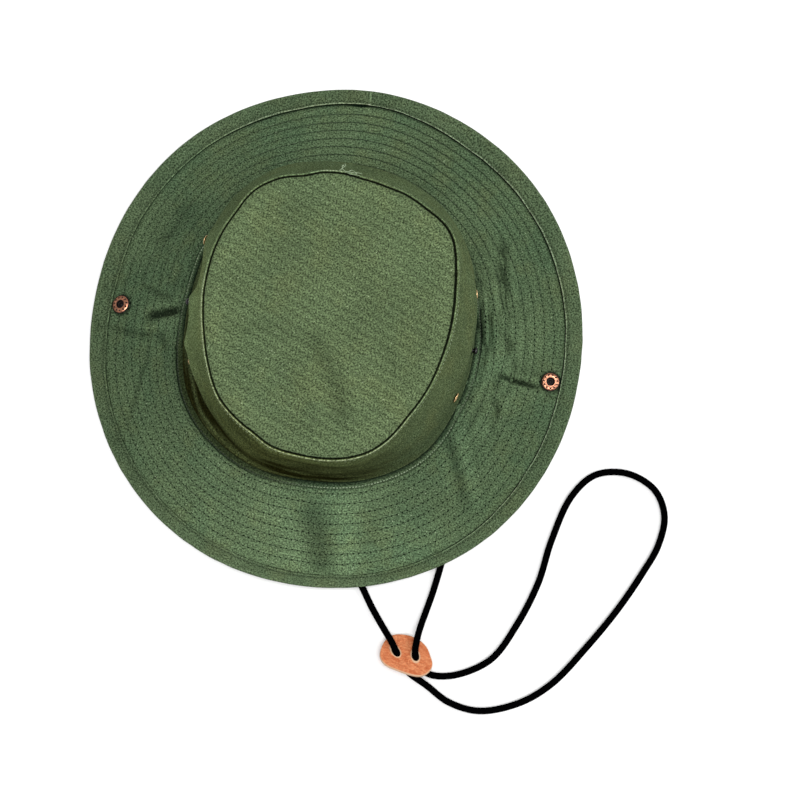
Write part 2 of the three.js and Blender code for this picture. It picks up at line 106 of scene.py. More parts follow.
# Middle line of the cord, from the inside of the left base seam to the right one
CORD_ROUTE = [
    [-83, -6.4, 23.6], [-79, -8, 21], [-72, -11.5, 15.4], [-62, -18.5, 8.2], [-49, -30, 3.2],
    [-32, -49, 2.2], [-8, -80, 2.2], [14, -109, 2.2], [31, -132, 2.2], [43.2, -148.2, 2.2],
    [50.2, -158, 2.5], [55.6, -164.8, 4], [60.2, -170.4, 6.1], [64, -174.8, 7.5], [67, -178.6, 7.7],
    [69.4, -182.2, 6.4], [71.8, -185.8, 4.1], [75, -189.8, 2.4], [79.5, -193, 2.2],
    [90.5, -198.2, 2.2], [105, -205.6, 2.2], [123.5, -207.5, 2.2], [145.8, -199, 2.2],
    [163, -184.6, 2.2], [180.8, -158.3, 2.2], [195, -133.7, 2.2], [206, -110.2, 2.2],
    [212.8, -92, 2.2], [213.7, -73.3, 2.2], [205.4, -59, 2.2], [187.6, -52.1, 2.2], [169.1, -56.3, 2.2],
    [157, -71.6, 2.2], [149.4, -100, 2.2], [145.6, -127, 2.2], [137, -154, 2.2], [125.4, -176.4, 2.2],
    [107, -188.8, 2.2], [93, -191.6, 2.2], [86, -189.4, 2.6], [82.6, -186.2, 4.2], [81, -182.6, 6.4],
    [80.2, -178.6, 7.7], [80.2, -174.4, 7.5], [80.4, -169.4, 6.1], [81.2, -163, 4], [82.6, -155, 2.5],
    [84.8, -142, 2.2], [87, -122, 2.2], [88, -96, 2.2], [86, -66, 2.2], [80.6, -40, 2.2],
    [74.6, -22, 3.4], [73, -11, 6.6], [74.8, -3.6, 9.6], [78.4, -1.8, 11.8],
]

rng = np.random.default_rng(7)


# Plain mathematics

def cardinal(a, b, c, d, t):
    return 0.5 * (2 * b + (c - a) * t + (2 * a - 5 * b + 4 * c - d) * t**2 + (3 * b - a - 3 * c + d) * t**3)


def around(column, degrees):
    """One column of STATIONS as a smooth closed curve round the hat."""
    values = STATIONS[:, STATION_COLUMNS.index(column)]
    place = np.asarray(degrees, float) / 360 * len(values)
    before = np.floor(place).astype(int)
    a, b, c, d = (values[(before + step) % len(values)] for step in (-1, 0, 1, 2))
    return cardinal(a, b, c, d, place - before)


def departure(rows, degrees):
    """A table of angle and size, softened over two degrees each way."""
    angles, sizes = np.array(rows, float).T
    return sum(
        0.2 * np.interp(np.asarray(degrees, float) + step, angles, sizes, period=360)
        for step in range(-2, 3)
    )


def seam_reach(degrees):
    return around("seamReach", degrees) + departure(SEAM_WOBBLE, degrees)


def hump(distance, half_width):
    return np.exp(-((distance / half_width) ** 2))


def turn_between(a, b):
    return (a - b + 180) % 360 - 180


def near_angle(degrees, angle, half_width):
    return hump(turn_between(degrees, angle), half_width)


def sum_of_humps(rows, degrees, along):
    total = 0.0
    for angle, place, size, half_angle, half_place in rows:
        total = total + size * near_angle(degrees, angle, half_angle) * hump(along - place, half_place)
    return total


def smooth(low, high, value):
    t = np.clip((value - low) / (high - low), 0, 1)
    return t * t * (3 - 2 * t)


def band(degrees, start, full, fading, end, size=1.0):
    """Size from the angle full to the angle fading, and 0 before start and past end."""
    return size * smooth(start, full, degrees) * (1 - smooth(fading, end, degrees))


def distances(line):
    """How far each point of a line is along it."""
    return np.concatenate([[0], np.cumsum(np.linalg.norm(np.diff(line, axis=0), axis=1))])


def points_at(places, run, line):
    return np.stack([np.interp(places, run, column) for column in line.T], 1)


def lattice_noise(x, y, z, seed):
    """Smooth noise from -1 to 1, on a lattice with cells of size 1."""
    def corner(i, j, k):
        n = (i * 374761393 + j * 668265263 + k * 2147483647 + seed * 1274126177) & 0xFFFFFFFF
        n = ((n ^ (n >> 13)) * 1274126177) & 0xFFFFFFFF
        return ((n ^ (n >> 16)) & 0xFFFF) / 32767.5 - 1

    x, y, z = np.broadcast_arrays(*(np.asarray(v, float) for v in (x, y, z)))
    i, j, k = (np.floor(v).astype(np.int64) for v in (x, y, z))
    fx, fy, fz = (v * v * (3 - 2 * v) for v in (x - i, y - j, z - k))
    total = 0.0
    for di in (0, 1):
        for dj in (0, 1):
            for dk in (0, 1):
                weight = (fx if di else 1 - fx) * (fy if dj else 1 - fy) * (fz if dk else 1 - fz)
                total = total + weight * corner(i + di, j + dj, k + dk)
    return total


def soft_noise(x, y, z, cell, seed):
    """Two octaves of noise with cells of the given size."""
    return (
        lattice_noise(x / cell, y / cell, z / cell, seed)
        + 0.5 * lattice_noise(2.1 * x / cell, 2.1 * y / cell, 2.1 * z / cell, seed + 17)
    ) / 1.5


def creases(x, y, rows):
    """Straight creases in plan: start, end, depth and half width, each fading out at both ends."""
    total = 0.0
    for ax, ay, bx, by, depth, half_width in rows:
        length = math.hypot(bx - ax, by - ay)
        t = ((x - ax) * (bx - ax) + (y - ay) * (by - ay)) / length**2
        off = ((x - ax) * (by - ay) - (y - ay) * (bx - ax)) / length
        fade = smooth(-0.15, 0.25, t) * smooth(-0.15, 0.3, 1 - t)
        total = total + depth * fade * (hump(off, half_width) - 0.35 * hump(abs(off) - 2.2 * half_width, half_width))
    return total


def plan(reach, degrees):
    angle = np.radians(degrees)
    return reach * np.cos(angle), reach * np.sin(angle)


def to_space(reach, height, degrees):
    """Points in the row frame, in metres."""
    x, y = plan(reach, degrees)
    return np.stack(np.broadcast_arrays((x - HAT_MIDDLE[0]) * MM, (y - HAT_MIDDLE[1]) * MM, height * MM), -1)


# The hat's middle surfaces, as reach and height in millimetres

def wall_line(degrees, climb, as_sewn=True):
    """The crown's wall, from the base at climb 0 to the seam at climb 1."""
    climb = np.asarray(climb, float)
    place = np.clip(climb, 0, 1) * 3
    start = np.minimum(np.floor(place), 2).astype(int)
    out = []
    for part in ("Reach", "Height"):
        rings = np.stack(np.broadcast_arrays(*(around(r + part, degrees) for r in ("base", "tuck", "bulge", "seam"))))
        rings = np.broadcast_to(rings, (4,) + np.broadcast_shapes(rings.shape[1:], start.shape))
        picks = [np.take_along_axis(rings, np.broadcast_to(np.clip(start + k, 0, 3), rings.shape[1:])[None], 0)[0]
                 for k in (-1, 0, 1, 2)]
        out.append(cardinal(*picks, place - start))
    out[0] = out[0] + sum_of_humps(WALL_FOLDS, degrees, climb)
    if as_sewn:
        out[0] = out[0] + departure(BULGE_TRIM, degrees) * smooth(0.28, 0.48, climb) * (1 - smooth(0.8, 0.95, climb))
        out[0] = out[0] + departure(BASE_TRIM, degrees) * (1 - smooth(0, 0.15, climb))
        out[0] = out[0] + departure(SEAM_WOBBLE, degrees) * smooth(0.72, 1, climb)
    return out


def edge_foot(degrees):
    return np.maximum(0, around("edgeHeight", degrees))


def tape_reach(degrees):
    return around("edgeReach", degrees) - around("tapeWidth", degrees)


def brim_line(degrees, share, as_sewn=True):
    """The brim, from the base at share 0 to the tape's inner line at share 1."""
    share = np.asarray(share, float)
    base, inner = around("baseReach", degrees), tape_reach(degrees)
    if as_sewn:
        base = base + departure(BASE_TRIM, degrees)
    reach = base + (inner - base) * share
    edge = edge_foot(degrees) + TAPE_BED
    fall = (around("baseHeight", degrees) - edge) * np.clip(1 - share, 0, None) ** BRIM_FALL
    fade = np.clip(4 * share * (1 - share), 0, None)
    return reach, edge + fall + fade * sum_of_humps(RIPPLES, degrees, reach)


def top_height(degrees, share):
    rim = around("seamHeight", degrees) + TOP_SHOULDER
    return TOP_MIDDLE_HEIGHT + (rim - TOP_MIDDLE_HEIGHT) * share**1.6


# Relief of the cloth on those surfaces, in millimetres

QUILT_FIRST = 0.133
QUILT_PITCH = 0.1055
QUILT_ROWS = 8
MARGIN_SHARE = 0.068

# Plan x and y of the start and the end, depth, half width
BRIM_CREASES = [
    [101, -7, 129, -9.8, -2, 1.4],
    [106, -4.4, 127, -6.4, 0.9, 1.8],
    [-92.5, -4.2, -115, -9.3, -1.8, 3],
    [-135, -17.5, -105, -22, -0.7, 2.4],
    [-108.4, -28.4, -114.4, -76.9, -0.6, 1.7],
    [-121, 10, -96, 1.4, -0.7, 1.8],
    [-122.6, 37.5, -107.9, 45, -0.6, 1.6],
    [2, -101, 18.5, -148, -0.9, 7],
    [24, -98, 34, -146, 0.7, 6],
    [76, -46, 95.6, -90, -0.7, 3],
    [82.5, -43, 102, -88, 0.6, 3],
    [98, -29.4, 107.6, -46, -0.5, 2.4],
    [90, 77, 97.2, 37, -1.2, 3],
    [131, -13.4, 141, -14.7, -0.7, 1.4],
    [83.4, 32, 89, 8, -1.5, 2],
    [89.2, 11, 89.6, -16, -2, 1.9],
    [86.5, 42, 94.8, 8, -2, 1.2],
    [94.6, 34, 98.8, 14, -1.5, 1.3],
    [85.8, 37, 91.2, 8, 0.8, 1],
    [92, 33, 97, 4, 0.8, 1.1],
    [101, -21, 107, -35, -1, 2.4],
    [90, -15, 86, -27, -1.3, 1.2],
    [81.5, -29.6, 78.8, -42.5, -0.9, 1.2],
    [-112.7, -7.9, -94, -3.6, -0.9, 2.2],
    [-104, -17.8, -96.3, -30.6, -0.8, 2.4],
]
BRIM_DENTS = [[-105.8, 58.8, -0.7, 10], [-112, 44, -0.5, 8], [110, -22, 0.6, 7], [118, 22, 0.4, 12]]
TOP_CREASES = [
    [-66, -26, -7, -20, -0.22, 4],
    [-10, -19, 6, -38, -0.5, 4.6],
    [6, -37, 22, -72, -0.6, 5.2],
    [31, -16.7, 46, -34, -0.25, 3.8],
]


def quilt_puff(share):
    """0 on a row of quilting stitches, 1 midway between two rows."""
    phase = (share - QUILT_FIRST) / QUILT_PITCH
    rows = np.abs(np.sin(np.pi * phase)) ** 0.65
    first_gap = (QUILT_FIRST - MARGIN_SHARE) / QUILT_PITCH
    inside = np.abs(np.sin(np.pi * np.clip(phase / first_gap, -1, 0))) ** 0.65
    margin = np.sin(np.pi * np.clip(share / MARGIN_SHARE, 0, 1)) ** 0.7
    return np.where(share < MARGIN_SHARE, margin, np.where(phase < 0, inside, rows))


SNAP_ARC = 2.3
BRIM_RUN = 56


def from_snaps(degrees, share):
    """Millimetres from each snap, round the hat and across the brim."""
    return [(turn_between(degrees, f["angle"]) * SNAP_ARC, (share - f["along"]) * BRIM_RUN)
            for f in FITTINGS if f["kind"] == "snap"]


def snap_flat(degrees, share):
    """1 where the cloth is held flat round a snap, else 0."""
    return sum(hump(arc, 9) * hump(run, 9) for arc, run in from_snaps(degrees, share))


def snap_shadow(degrees, share):
    """Painted shadow on the cloth close round a snap."""
    return sum(hump(np.hypot(arc, run) - 6.1, 0.7) for arc, run in from_snaps(degrees, share))


def brim_drag(degrees, share):
    """Puckers that run round the hat, strongest near the crown at the right."""
    right = near_angle(degrees, 8, 26)
    left = near_angle(degrees, 172, 26)
    arc = np.radians(turn_between(degrees, 0)) * 110
    drag = lattice_noise(arc / 15, share * 17, 0, 3) + 0.8 * lattice_noise(arc / 6.5, share * 27, 4, 5)
    return drag * (0.05 + 1.05 * right * hump(share - 0.22, 0.34) + 0.2 * left)


def brim_folds(degrees, share):
    """How far both layers rise or sink together, along the height."""
    reach, _ = brim_line(degrees, share)
    x, y = plan(reach, degrees)
    right = near_angle(degrees, 8, 26)
    rise = brim_drag(degrees, share)
    rise = rise + 0.15 * right * hump(share - 0.12, 0.26) * (quilt_puff(share) - 0.6)
    rise = rise + 0.36 * soft_noise(x, y, 0, 30, 11) + 0.12 * soft_noise(x, y, 0, 9, 12)
    rise = rise + creases(x, y, BRIM_CREASES)
    for dx, dy, lift, half in BRIM_DENTS:
        rise = rise + lift * hump(np.hypot(x - dx, y - dy), half)
    fade = smooth(0, 0.05, share) * (1 - smooth(0.93, 1.0, share))
    return rise * fade * (1 - np.clip(snap_flat(degrees, share), 0, 1))


def brim_puff(degrees, share):
    """How far the upper face stands off the middle, past the plain cloth."""
    reach, _ = brim_line(degrees, share)
    x, y = plan(reach, degrees)
    right = near_angle(degrees, 8, 28)
    left = near_angle(degrees, 172, 26)
    back = near_angle(degrees, 88, 52)
    depth = 0.16 + 0.32 * back + 0.1 * left + 0.02 * right
    puff = depth * (quilt_puff(share) - 0.6) + 0.045 * lattice_noise(x / 2.6, y / 2.6, 0, 13)
    puff = puff + 0.3 * hump(turn_between(degrees, 92.6) * 2.2, 0.9)
    puff = puff * smooth(0, 0.05, share) * (1 - 0.85 * smooth(0.97, 1.02, share))
    return puff * (1 - np.clip(snap_flat(degrees, share), 0, 1))


def brim_relief(degrees, share):
    return brim_puff(degrees, share) + brim_folds(degrees, share)


def bent_brim(degrees, share):
    reach, height = brim_line(degrees, share)
    return reach, height + brim_folds(degrees, share)


def moved(line, degrees, along, offset):
    """A point of a line, moved to the line's left by offset."""
    step = 2e-3
    r0, z0 = line(degrees, along - step)
    r1, z1 = line(degrees, along + step)
    r, z = line(degrees, along)
    size = np.hypot(r1 - r0, z1 - z0)
    return r - (z1 - z0) / size * offset, z + (r1 - r0) / size * offset


def brim_top(degrees, share):
    return moved(bent_brim, degrees, share, BRIM_CLOTH / 2 + brim_puff(degrees, share))


def brim_under_puff(degrees, share):
    reach, _ = brim_line(degrees, share)
    x, y = plan(reach, degrees)
    puff = 0.3 * (quilt_puff(share) - 0.6) + 0.07 * lattice_noise(x / 3, y / 3, 0, 21)
    fade = smooth(0, 0.06, share) * (1 - smooth(0.9, 1.0, share))
    return puff * fade * (1 - np.clip(snap_flat(degrees, share), 0, 1))


def brim_bottom(degrees, share):
    return moved(bent_brim, degrees, share, -BRIM_CLOTH / 2 - brim_under_puff(degrees, share))


WALL_RISE = 0.8
WALL_RADIUS = 88
WALL_LENGTH = 80
WALL_STITCH_CLIMB = 0.957
SEAM_BACK = 94.0


def wall_seated(degrees, climb):
    """The wall's middle line, lifted at its foot so that it stands on the brim."""
    reach, height = wall_line(degrees, climb)
    return reach, height + WALL_RISE * (1 - smooth(0, 0.12, np.asarray(climb, float)))


def wall_relief(degrees, climb):
    side = np.radians(degrees)
    x, y = WALL_RADIUS * np.cos(side), WALL_RADIUS * np.sin(side)
    z = climb * WALL_LENGTH
    relief = 0.55 * soft_noise(x, y, z, 26, 31) + 0.16 * soft_noise(x, y, z * 1.6, 8, 32)
    relief = relief + 0.04 * lattice_noise(x / 2.4, y / 2.4, z / 2.4, 33)
    recess = near_angle(degrees, 212, 26) * hump(climb - 0.3, 0.17)
    relief = relief + 0.5 * recess * np.sin(climb * 44 + 3 * np.cos(np.radians(degrees * 4)))
    front = near_angle(degrees, 270, 40) * hump(climb - 0.36, 0.2)
    relief = relief + 0.5 * front * np.sin(climb * 46 + 2 * np.cos(np.radians(degrees * 3)))
    relief = relief + 0.7 * near_angle(degrees, 200.5, 2.2) * hump(climb - 0.63, 0.06)
    relief = relief + 0.5 * near_angle(degrees, 182, 1.6) * hump(climb - 0.64, 0.06)
    edge = smooth(0.0, 0.1, climb) * (1 - smooth(0.9, 0.99, climb))
    relief = relief * edge
    relief = relief + 0.3 * smooth(0.955, 0.975, climb) - 0.22 * hump((climb - WALL_STITCH_CLIMB) * WALL_LENGTH, 0.7)
    relief = relief + 0.3 * hump((climb - 0.03) * WALL_LENGTH, 1.4)
    return relief + 0.4 * hump(turn_between(degrees, SEAM_BACK) * 1.6, 0.9) * smooth(0.02, 0.06, climb)


def wall_out(degrees, climb):
    return moved(wall_seated, degrees, climb, -CROWN_CLOTH / 2 - wall_relief(degrees, climb))


def wall_in(degrees, climb):
    return moved(wall_seated, degrees, climb, CROWN_CLOTH / 2 - 0.7 * wall_relief(degrees, climb))


def top_relief(degrees, share):
    reach = seam_reach(degrees) * share
    x, y = plan(reach, degrees)
    relief = 0.4 * soft_noise(x, y, 0, 34, 41) + 0.1 * soft_noise(x, y, 0, 10, 42)
    relief = relief + 0.03 * lattice_noise(x / 2.2, y / 2.2, 0, 43) + creases(x, y, TOP_CREASES)
    return relief * (1 - smooth(0.9, 0.99, share)) + 0.25 * hump(share - 0.93, 0.05)


def top_panel(degrees, share, depth=0.0):
    """The top panel: flat to share 1, then over its shoulder to share 2 and down inside the wall to share 3."""
    share = np.asarray(share, float)
    shoulder = 1.5 - 0.6 * depth
    rim = seam_reach(degrees) - CROWN_CLOTH / 2 - 0.4 - depth
    flat = np.clip(share, 0, 1)
    reach = flat * (rim - shoulder)
    height = top_height(degrees, flat * 0.98) + CROWN_CLOTH / 2 - depth + top_relief(degrees, flat)
    over = np.clip(share - 1, 0, 1) * np.pi / 2
    reach = reach + shoulder * np.sin(over)
    height = height - shoulder * (1 - np.cos(over))
    down = np.clip(share - 2, 0, 1)
    foot_r, foot_z = moved(wall_line, degrees, 0.9, CROWN_CLOTH / 2 + 0.5 + depth)
    end_r, end_z = rim, top_height(degrees, 0.98) + CROWN_CLOTH / 2 - depth - shoulder
    return reach + (foot_r - end_r) * down, height + (foot_z - end_z) * down


TAPE_JOIN = 92.2
TAPE_FRONT_SEAM = -86.3
EDGE_ARC = 2.65
EDGE_RADIUS = 150


def past_angle(degrees, angle):
    """Millimetres past an angle, along the brim's edge."""
    return turn_between(degrees, angle) * EDGE_ARC


def tape_lap(degrees):
    """How much higher the tape is where its end laps over its start."""
    return band(past_angle(degrees, TAPE_JOIN), -0.6, 0.5, 10, 15, 0.75)


def tape_top(degrees, across):
    """The tape's upper face, from its inner edge at across 0 to its outer edge at across 1."""
    edge, inner = around("edgeReach", degrees), tape_reach(degrees)
    arc = np.radians(turn_between(degrees, 0)) * EDGE_RADIUS
    waver = 0.45 * lattice_noise(arc / 19, 0, 0, 51) + 0.2 * lattice_noise(arc / 5, 0, 0, 52)
    reach = inner + waver * (1 - across) + (edge - inner - 1.9) * across
    x, y = plan(reach, degrees)
    height = edge_foot(degrees) + 2 * TAPE_BED
    stitch = hump((across * (edge - inner) - 1.7), 0.7)
    height = height - 0.35 * stitch - 0.1 + 0.12 * soft_noise(x, y, 0, 9, 53)
    height = height + 0.06 * lattice_noise(arc / 2.4, across * 4, 0, 54)
    height = height + tape_lap(degrees)
    height = height + 0.25 * hump(past_angle(degrees, TAPE_FRONT_SEAM), 0.8)
    return reach, height


# Fittings: the same places as the solids that they stand for

FACETS_ROUND = 72
WALL_CLIMBS = [0, 0.1, 0.24, 0.38, 0.5, 0.62, 0.75, 0.9, 1]
BRIM_SHARES = [0.02, 0.24, 0.5, 0.76, 1]
FITTINGS = [
    dict(zip(("name", "kind", "angle", "along"), row)) for row in [
        ["snap_left", "snap", 181.4, 0.86],
        ["snap_right", "snap", -2.1, 0.88],
        ["stud_left", "stud", 181, 0.17],
        ["stud_right", "stud", 0.6, 0.31],
        ["eyelet_left_front", "eyelet", 207.5, 0.56],
        ["eyelet_left_back", "eyelet", 157.5, 0.56],
        ["eyelet_right_front", "eyelet", -21.5, 0.44],
        ["eyelet_right_back", "eyelet", 22.6, 0.44],
    ]
]


def fitting_place(fitting):
    """Middle of a fitting on the solid's facet, and the quaternion that turns +Z to where the cloth faces."""
    on_brim = fitting["kind"] == "snap"
    line, steps, side = (brim_line, BRIM_SHARES, -1) if on_brim else (wall_line, WALL_CLIMBS, 1)
    turn = 360 / FACETS_ROUND
    start = math.floor(fitting["angle"] / turn) * turn
    k = max(k for k, step in enumerate(steps) if step <= fitting["along"])
    across = (fitting["angle"] - start) / turn
    climb = (fitting["along"] - steps[k]) / (steps[k + 1] - steps[k])
    low, high = (
        [Vector(to_space(*line(a, step, False), a)) for a in (start, start + turn)] for step in steps[k:k + 2]
    )
    a, b = low[0].lerp(low[1], across), high[0].lerp(high[1], across)
    facing = (low[1] - low[0]).cross(b - a).normalized() * side
    return a.lerp(b, climb), Vector((0, 0, 1)).rotation_difference(facing)


PLACES = {f["name"]: fitting_place(f) for f in FITTINGS}


# Shader helpers

def node(tree, kind, inputs=None, **settings):
    made = tree.nodes.new("ShaderNode" + kind)
    for key, value in settings.items():
        setattr(made, key, value)
    for key, value in (inputs or {}).items():
        if isinstance(value, bpy.types.NodeSocket):
            tree.links.new(value, made.inputs[key])
        else:
            made.inputs[key].default_value = value
    return made


def maths(tree, operation, *values):
    return node(tree, "Math", dict(enumerate(values)), operation=operation).outputs[0]


def times(tree, a, b):
    return maths(tree, "MULTIPLY", a, b)


def plus(tree, a, b):
    return maths(tree, "ADD", a, b)


def spread(tree, value, low, high, to_low, to_high):
    inputs = {"Value": value, "From Min": low, "From Max": high, "To Min": to_low, "To Max": to_high}
    return node(tree, "MapRange", inputs, interpolation_type="SMOOTHSTEP").outputs[0]


def noise(tree, vector, scale, detail=2.0, roughness=0.5, distortion=0.0):
    inputs = {"Vector": vector, "Scale": scale, "Detail": detail, "Roughness": roughness, "Distortion": distortion}
    return node(tree, "TexNoise", inputs).outputs[0]


def mixed(tree, factor, a, b):
    """Past 0 and 1 the mix goes on, so that a negative shade makes a colour lighter."""
    made = node(tree, "Mix", {0: factor, 6: a, 7: b}, data_type="RGBA", clamp_factor=False)
    return made.outputs[2]


def millimetres(tree):
    """Object coordinates in millimetres."""
    place = node(tree, "TexCoord").outputs["Object"]
    return node(tree, "VectorMath", {0: place, "Scale": 1000.0}, operation="SCALE").outputs[0]


def attribute(tree, name, output="Fac"):
    return node(tree, "Attribute", attribute_name=name).outputs[output]


def start_material(name):
    material = bpy.data.materials.new(name)
    material.use_nodes = True
    tree = material.node_tree
    return material, tree, tree.nodes["Principled BSDF"]


def finish_material(tree, shader, colour=None, height=None, distance=0.1, strength=0.6, **values):
    if colour is not None:
        tree.links.new(colour, shader.inputs["Base Color"])
    if height is not None:
        inputs = {"Height": height, "Distance": distance * MM, "Strength": strength}
        tree.links.new(node(tree, "Bump", inputs).outputs[0], shader.inputs["Normal"])
    for key, value in values.items():
        socket = shader.inputs[key.replace("_", " ")]
        if isinstance(value, bpy.types.NodeSocket):
            tree.links.new(value, socket)
        else:
            socket.default_value = value


LIGHT = 1.6


def paint(red, green, blue):
    """The surface colour that shows as this one, out of 255, in the scene's light."""
    return [((c / 255 + 0.055) / 1.055) ** 2.4 / LIGHT for c in (red, green, blue)] + [1]


def cloth_material(name, base, cool, warm, dark, bands=0.0, thread=0.62, speckle=0.74, mottle=0.08, grain=0.0):
    """Worn cotton: threads both ways, dark and light specks, patches that fade to cool and to warm; painted shade and
    painted highlight from the shade and relief attributes.
    """
    material, tree, shader = start_material(name)
    place = millimetres(tree)
    weave = attribute(tree, "weave", "Vector")
    patches = noise(tree, place, 0.02, 3.0, 0.55)
    wear_and_painted_light = noise(tree, place, 0.045, 4.0, 0.6)
    colour = mixed(tree, spread(tree, patches, 0.4, 0.66, 0, 0.5), base, cool)
    colour = mixed(tree, spread(tree, wear_and_painted_light, 0.46, 0.7, 0, 0.35), colour, warm)
    lint = spread(tree, noise(tree, place, 1.5, 0.0), 0.79, 0.84, 0, 0.7)
    colour = mixed(tree, lint, colour, paint(186, 200, 166))
    colour = mixed(tree, attribute(tree, "olive"), colour, paint(104, 108, 48))
    # Painted shade from the shade attribute; below -1 it turns into a painted highlight on raised edges.
    shade = attribute(tree, "shade")
    colour = mixed(tree, maths(tree, "MAXIMUM", shade, -1.0), colour, dark)
    ridge_highlight = spread(tree, times(tree, shade, -1.0), 1.0, 2.0, 0, 1)
    colour = mixed(tree, ridge_highlight, colour, paint(190, 194, 172))
    specks = noise(tree, weave, 0.98, 2.0, 0.8)
    blotches = noise(tree, place, 0.3, 3.0, 0.6)
    split = node(tree, "SeparateXYZ", {0: weave}).outputs
    waver = times(tree, noise(tree, weave, 0.5, 1.0), 2.2)
    turn = 2 * math.pi / thread
    warp = maths(tree, "SINE", plus(tree, times(tree, split[0], turn), waver))
    weft = maths(tree, "SINE", plus(tree, times(tree, split[1], turn), waver))
    threads = times(tree, warp, weft)
    light = spread(tree, specks, 0.33, 0.67, 1 - speckle, 1 + 1.1 * speckle)
    light = times(tree, light, spread(tree, blotches, 0.3, 0.7, 1 - mottle, 1 + mottle))
    light = times(tree, light, spread(tree, threads, -1.0, 1.0, 0.84, 1.16))
    if grain:
        coarse = noise(tree, place, 0.6, 3.0, 0.8)
        light = times(tree, light, spread(tree, coarse, 0.34, 0.66, 1 - grain, 1 + grain))
    # Painted shade in the hollows of the relief and painted highlight on its rises.
    light = times(tree, light, spread(tree, attribute(tree, "relief"), -1.3, 1.0, 0.62, 1.24))
    if bands:
        across = plus(tree, times(tree, split[0], 0.4), split[1])
        phase = plus(tree, times(tree, across, 1.03), waver)
        light = times(tree, light, spread(tree, maths(tree, "SINE", phase), -1.0, 1.0, 1 - bands, 1 + bands))
    colour = node(tree, "HueSaturation", {"Value": light, "Color": colour}).outputs[0]
    height = plus(tree, times(tree, threads, 0.3), specks)
    finish_material(tree, shader, colour, height, 0.3, 0.8, Roughness=1.0, Specular_IOR_Level=0.0)
    return material


def thread_material(name, base, dark):
    material, tree, shader = start_material(name)
    place = millimetres(tree)
    colour = mixed(tree, spread(tree, noise(tree, place, 0.8, 2.0), 0.35, 0.65, 0, 1), base, dark)
    # Painted shade on the threads from the shade attribute.
    colour = mixed(tree, attribute(tree, "shade"), colour, paint(12, 20, 12))
    twist = noise(tree, place, 6.0, 1.0)
    finish_material(tree, shader, colour, twist, 0.1, 0.5, Roughness=0.8, Specular_IOR_Level=0.3)
    return material


def plain_material(name, colour, grain=3.0, depth=0.05, spots=0.25, **values):
    material, tree, shader = start_material(name)
    place = millimetres(tree)
    fine = noise(tree, place, grain, 3.0, 0.6)
    light = spread(tree, fine, 0.3, 0.7, 1 - spots, 1 + spots)
    shade = node(tree, "HueSaturation", {"Value": light, "Color": colour}).outputs[0]
    finish_material(tree, shader, shade, fine, depth, 0.6, **values)
    return material


def leather_material(bores):
    """Mottled tan hide, pale where it is cut: its edge, and within half a millimetre of the cord's holes."""
    material, tree, shader = start_material("tan_leather")
    place = millimetres(tree)
    streaks = node(tree, "Mapping", {0: place, 2: (0, 0, 0.9), 3: (0.55, 1.3, 1)}).outputs[0]
    mottle = noise(tree, streaks, 0.5, 5.0, 0.7, 0.8)
    colour = mixed(tree, spread(tree, mottle, 0.34, 0.66, 0, 1), paint(206, 104, 56), paint(246, 158, 106))
    pores = node(tree, "TexVoronoi", {"Vector": place, "Scale": 1.6}).outputs["Distance"]
    fine = noise(tree, place, 1.4, 4.0, 0.7)
    light = spread(tree, fine, 0.3, 0.7, 0.8, 1.2)
    colour = node(tree, "HueSaturation", {"Value": light, "Color": colour}).outputs[0]
    pale = attribute(tree, "cut")
    for middle, axis in bores:
        away = node(tree, "VectorMath", {0: place, 1: middle}, operation="SUBTRACT").outputs[0]
        across = node(tree, "VectorMath", {0: away, 1: axis}, operation="CROSS_PRODUCT").outputs[0]
        distance = node(tree, "VectorMath", {0: across}, operation="LENGTH").outputs["Value"]
        pale = maths(tree, "MAXIMUM", pale, spread(tree, distance, 2.6, 3.1, 1, 0))
    colour = mixed(tree, pale, colour, paint(240, 196, 158))
    height = plus(tree, times(tree, pores, 0.6), fine)
    finish_material(tree, shader, colour, height, 0.2, 0.7, Roughness=0.65, Specular_IOR_Level=0.25)
    return material


def cord_material():
    """Black braid: strands that wind both ways and pass over and under each other."""
    material, tree, shader = start_material("black_braid")
    split = node(tree, "SeparateXYZ", {0: attribute(tree, "braid", "Vector")}).outputs
    wind = times(tree, split[0], 8.0)
    run = times(tree, split[1], 3.1)
    one = maths(tree, "SINE", plus(tree, wind, run))
    two = maths(tree, "SINE", maths(tree, "SUBTRACT", wind, run))
    strands = times(tree, one, two)
    colour = mixed(tree, spread(tree, strands, -0.8, 0.8, 0, 1), paint(0, 0, 1), paint(4, 4, 6))
    finish_material(tree, shader, colour, strands, 0.25, 0.8, Roughness=1.0, Specular_IOR_Level=0.0)
    return material


